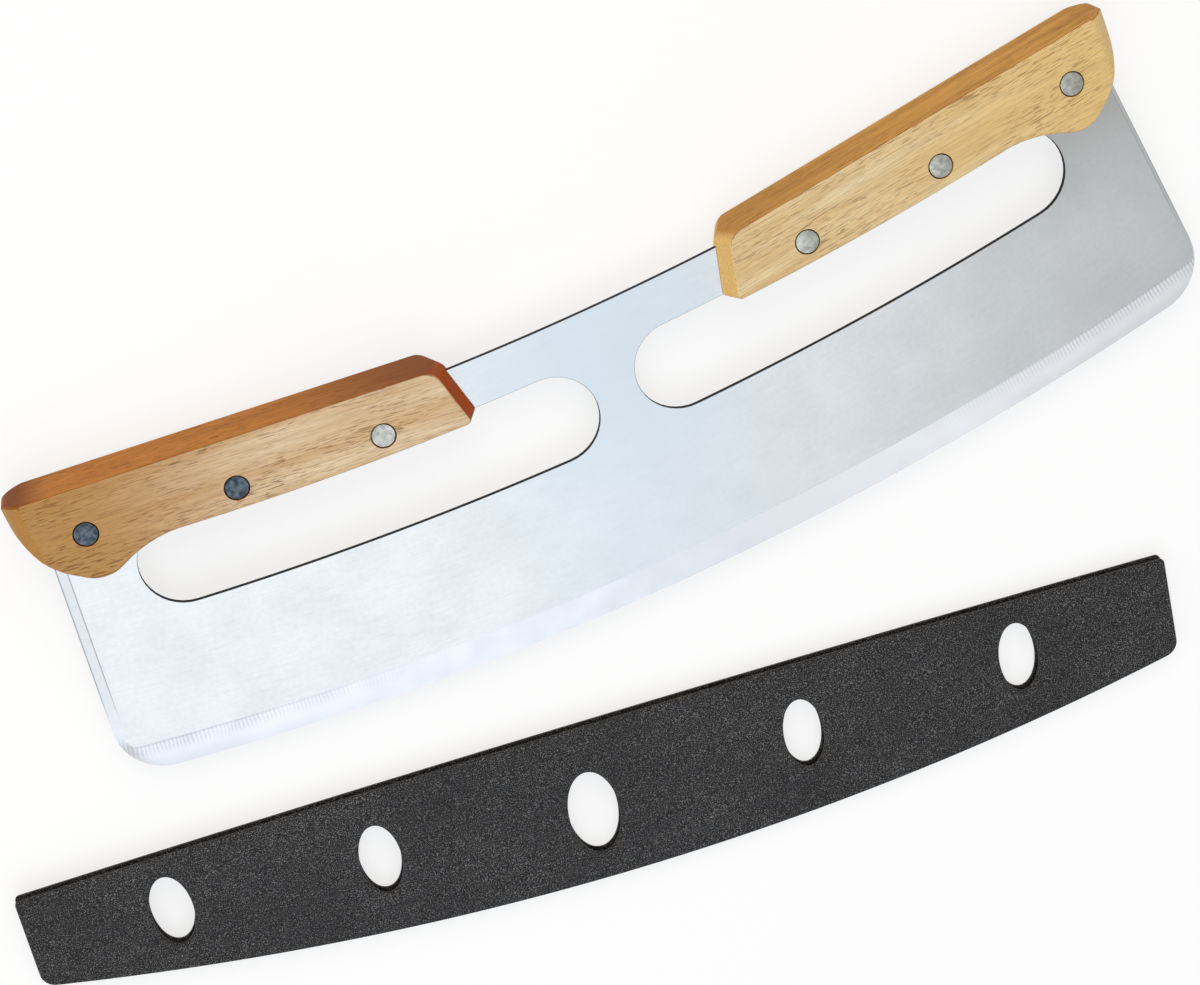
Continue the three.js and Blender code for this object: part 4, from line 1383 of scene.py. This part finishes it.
def set_lamps(context, stage):
    """Three square soft lights that look at the middle of the knife."""
    for name in ("key", "fill", "side"):
        softbox = bpy.data.lights.new(f"{name}_softbox", 'AREA')
        softbox.shape = 'SQUARE'
        softbox.size = getattr(stage, f"{name}_span")
        softbox.energy = getattr(stage, f"{name}_power")
        softbox.color = getattr(stage, f"{name}_colour")
        lamp = bpy.data.objects.new(f"{name}_softbox", softbox)
        lamp.location = getattr(stage, f"{name}_place")
        lamp.rotation_euler = (-lamp.location).to_track_quat('-Z', 'Y').to_euler()
        context.collection.objects.link(lamp)


def set_camera(context, stage):
    """The camera, rolled about its line of sight."""
    lens = bpy.data.cameras.new("photo_camera")
    lens.lens = stage.lens
    lens.sensor_width = stage.sensor
    camera = bpy.data.objects.new("photo_camera", lens)
    sight = (Vector(stage.target) - Vector(stage.eye)).to_track_quat('-Z', 'Y').to_matrix().to_4x4()
    camera.matrix_world = Matrix.Translation(stage.eye) @ sight @ Matrix.Rotation(stage.roll, 4, 'Z')
    context.collection.objects.link(camera)
    context.scene.camera = camera


class ROCKERKNIFE_OT_stage(bpy.types.Operator):
    """Sets the table, the soft light and the camera"""
    bl_idname = "rocker_knife.stage"
    bl_label = "Stage"

    def execute(self, context):
        knife = context.scene.rocker_knife
        set_table(context, knife)
        white_world(context, knife.stage)
        set_lamps(context, knife.stage)
        set_camera(context, knife.stage)
        context.scene.view_settings.view_transform = 'Standard'
        return {'FINISHED'}


# The add-on


class ROCKERKNIFE_PT_panel(bpy.types.Panel):
    """Lists the pieces of the knife"""
    bl_idname = "ROCKERKNIFE_PT_panel"
    bl_label = "Rocker knife"
    bl_space_type = 'VIEW_3D'
    bl_region_type = 'UI'
    bl_category = "Rocker knife"

    def draw(self, context):
        for operator in OPERATORS:
            self.layout.operator(operator.bl_idname)


OPERATORS = (
    ROCKERKNIFE_OT_stage, ROCKERKNIFE_OT_blade, ROCKERKNIFE_OT_handles, ROCKERKNIFE_OT_rivets,
    ROCKERKNIFE_OT_sheath,
)
SETTINGS = (BladeSizes, HandleSizes, SheathSizes, Finishes, Textures, StageSettings, RockerKnife)
CLASSES = (*SETTINGS, *OPERATORS, ROCKERKNIFE_PT_panel)


def register():
    """Adds the settings, operators and panel to Blender."""
    for cls in CLASSES:
        bpy.utils.register_class(cls)
    bpy.types.Scene.rocker_knife = bpy.props.PointerProperty(type=RockerKnife)


def unregister():
    """Takes them out again."""
    del bpy.types.Scene.rocker_knife
    for cls in reversed(CLASSES):
        bpy.utils.unregister_class(cls)


def main():
    """Builds the knife on its stage."""
    register()
    bpy.ops.rocker_knife.stage()
    bpy.ops.rocker_knife.blade()
    bpy.ops.rocker_knife.handles()
    bpy.ops.rocker_knife.rivets()
    bpy.ops.rocker_knife.sheath()


if __name__ == "__main__":
    main()
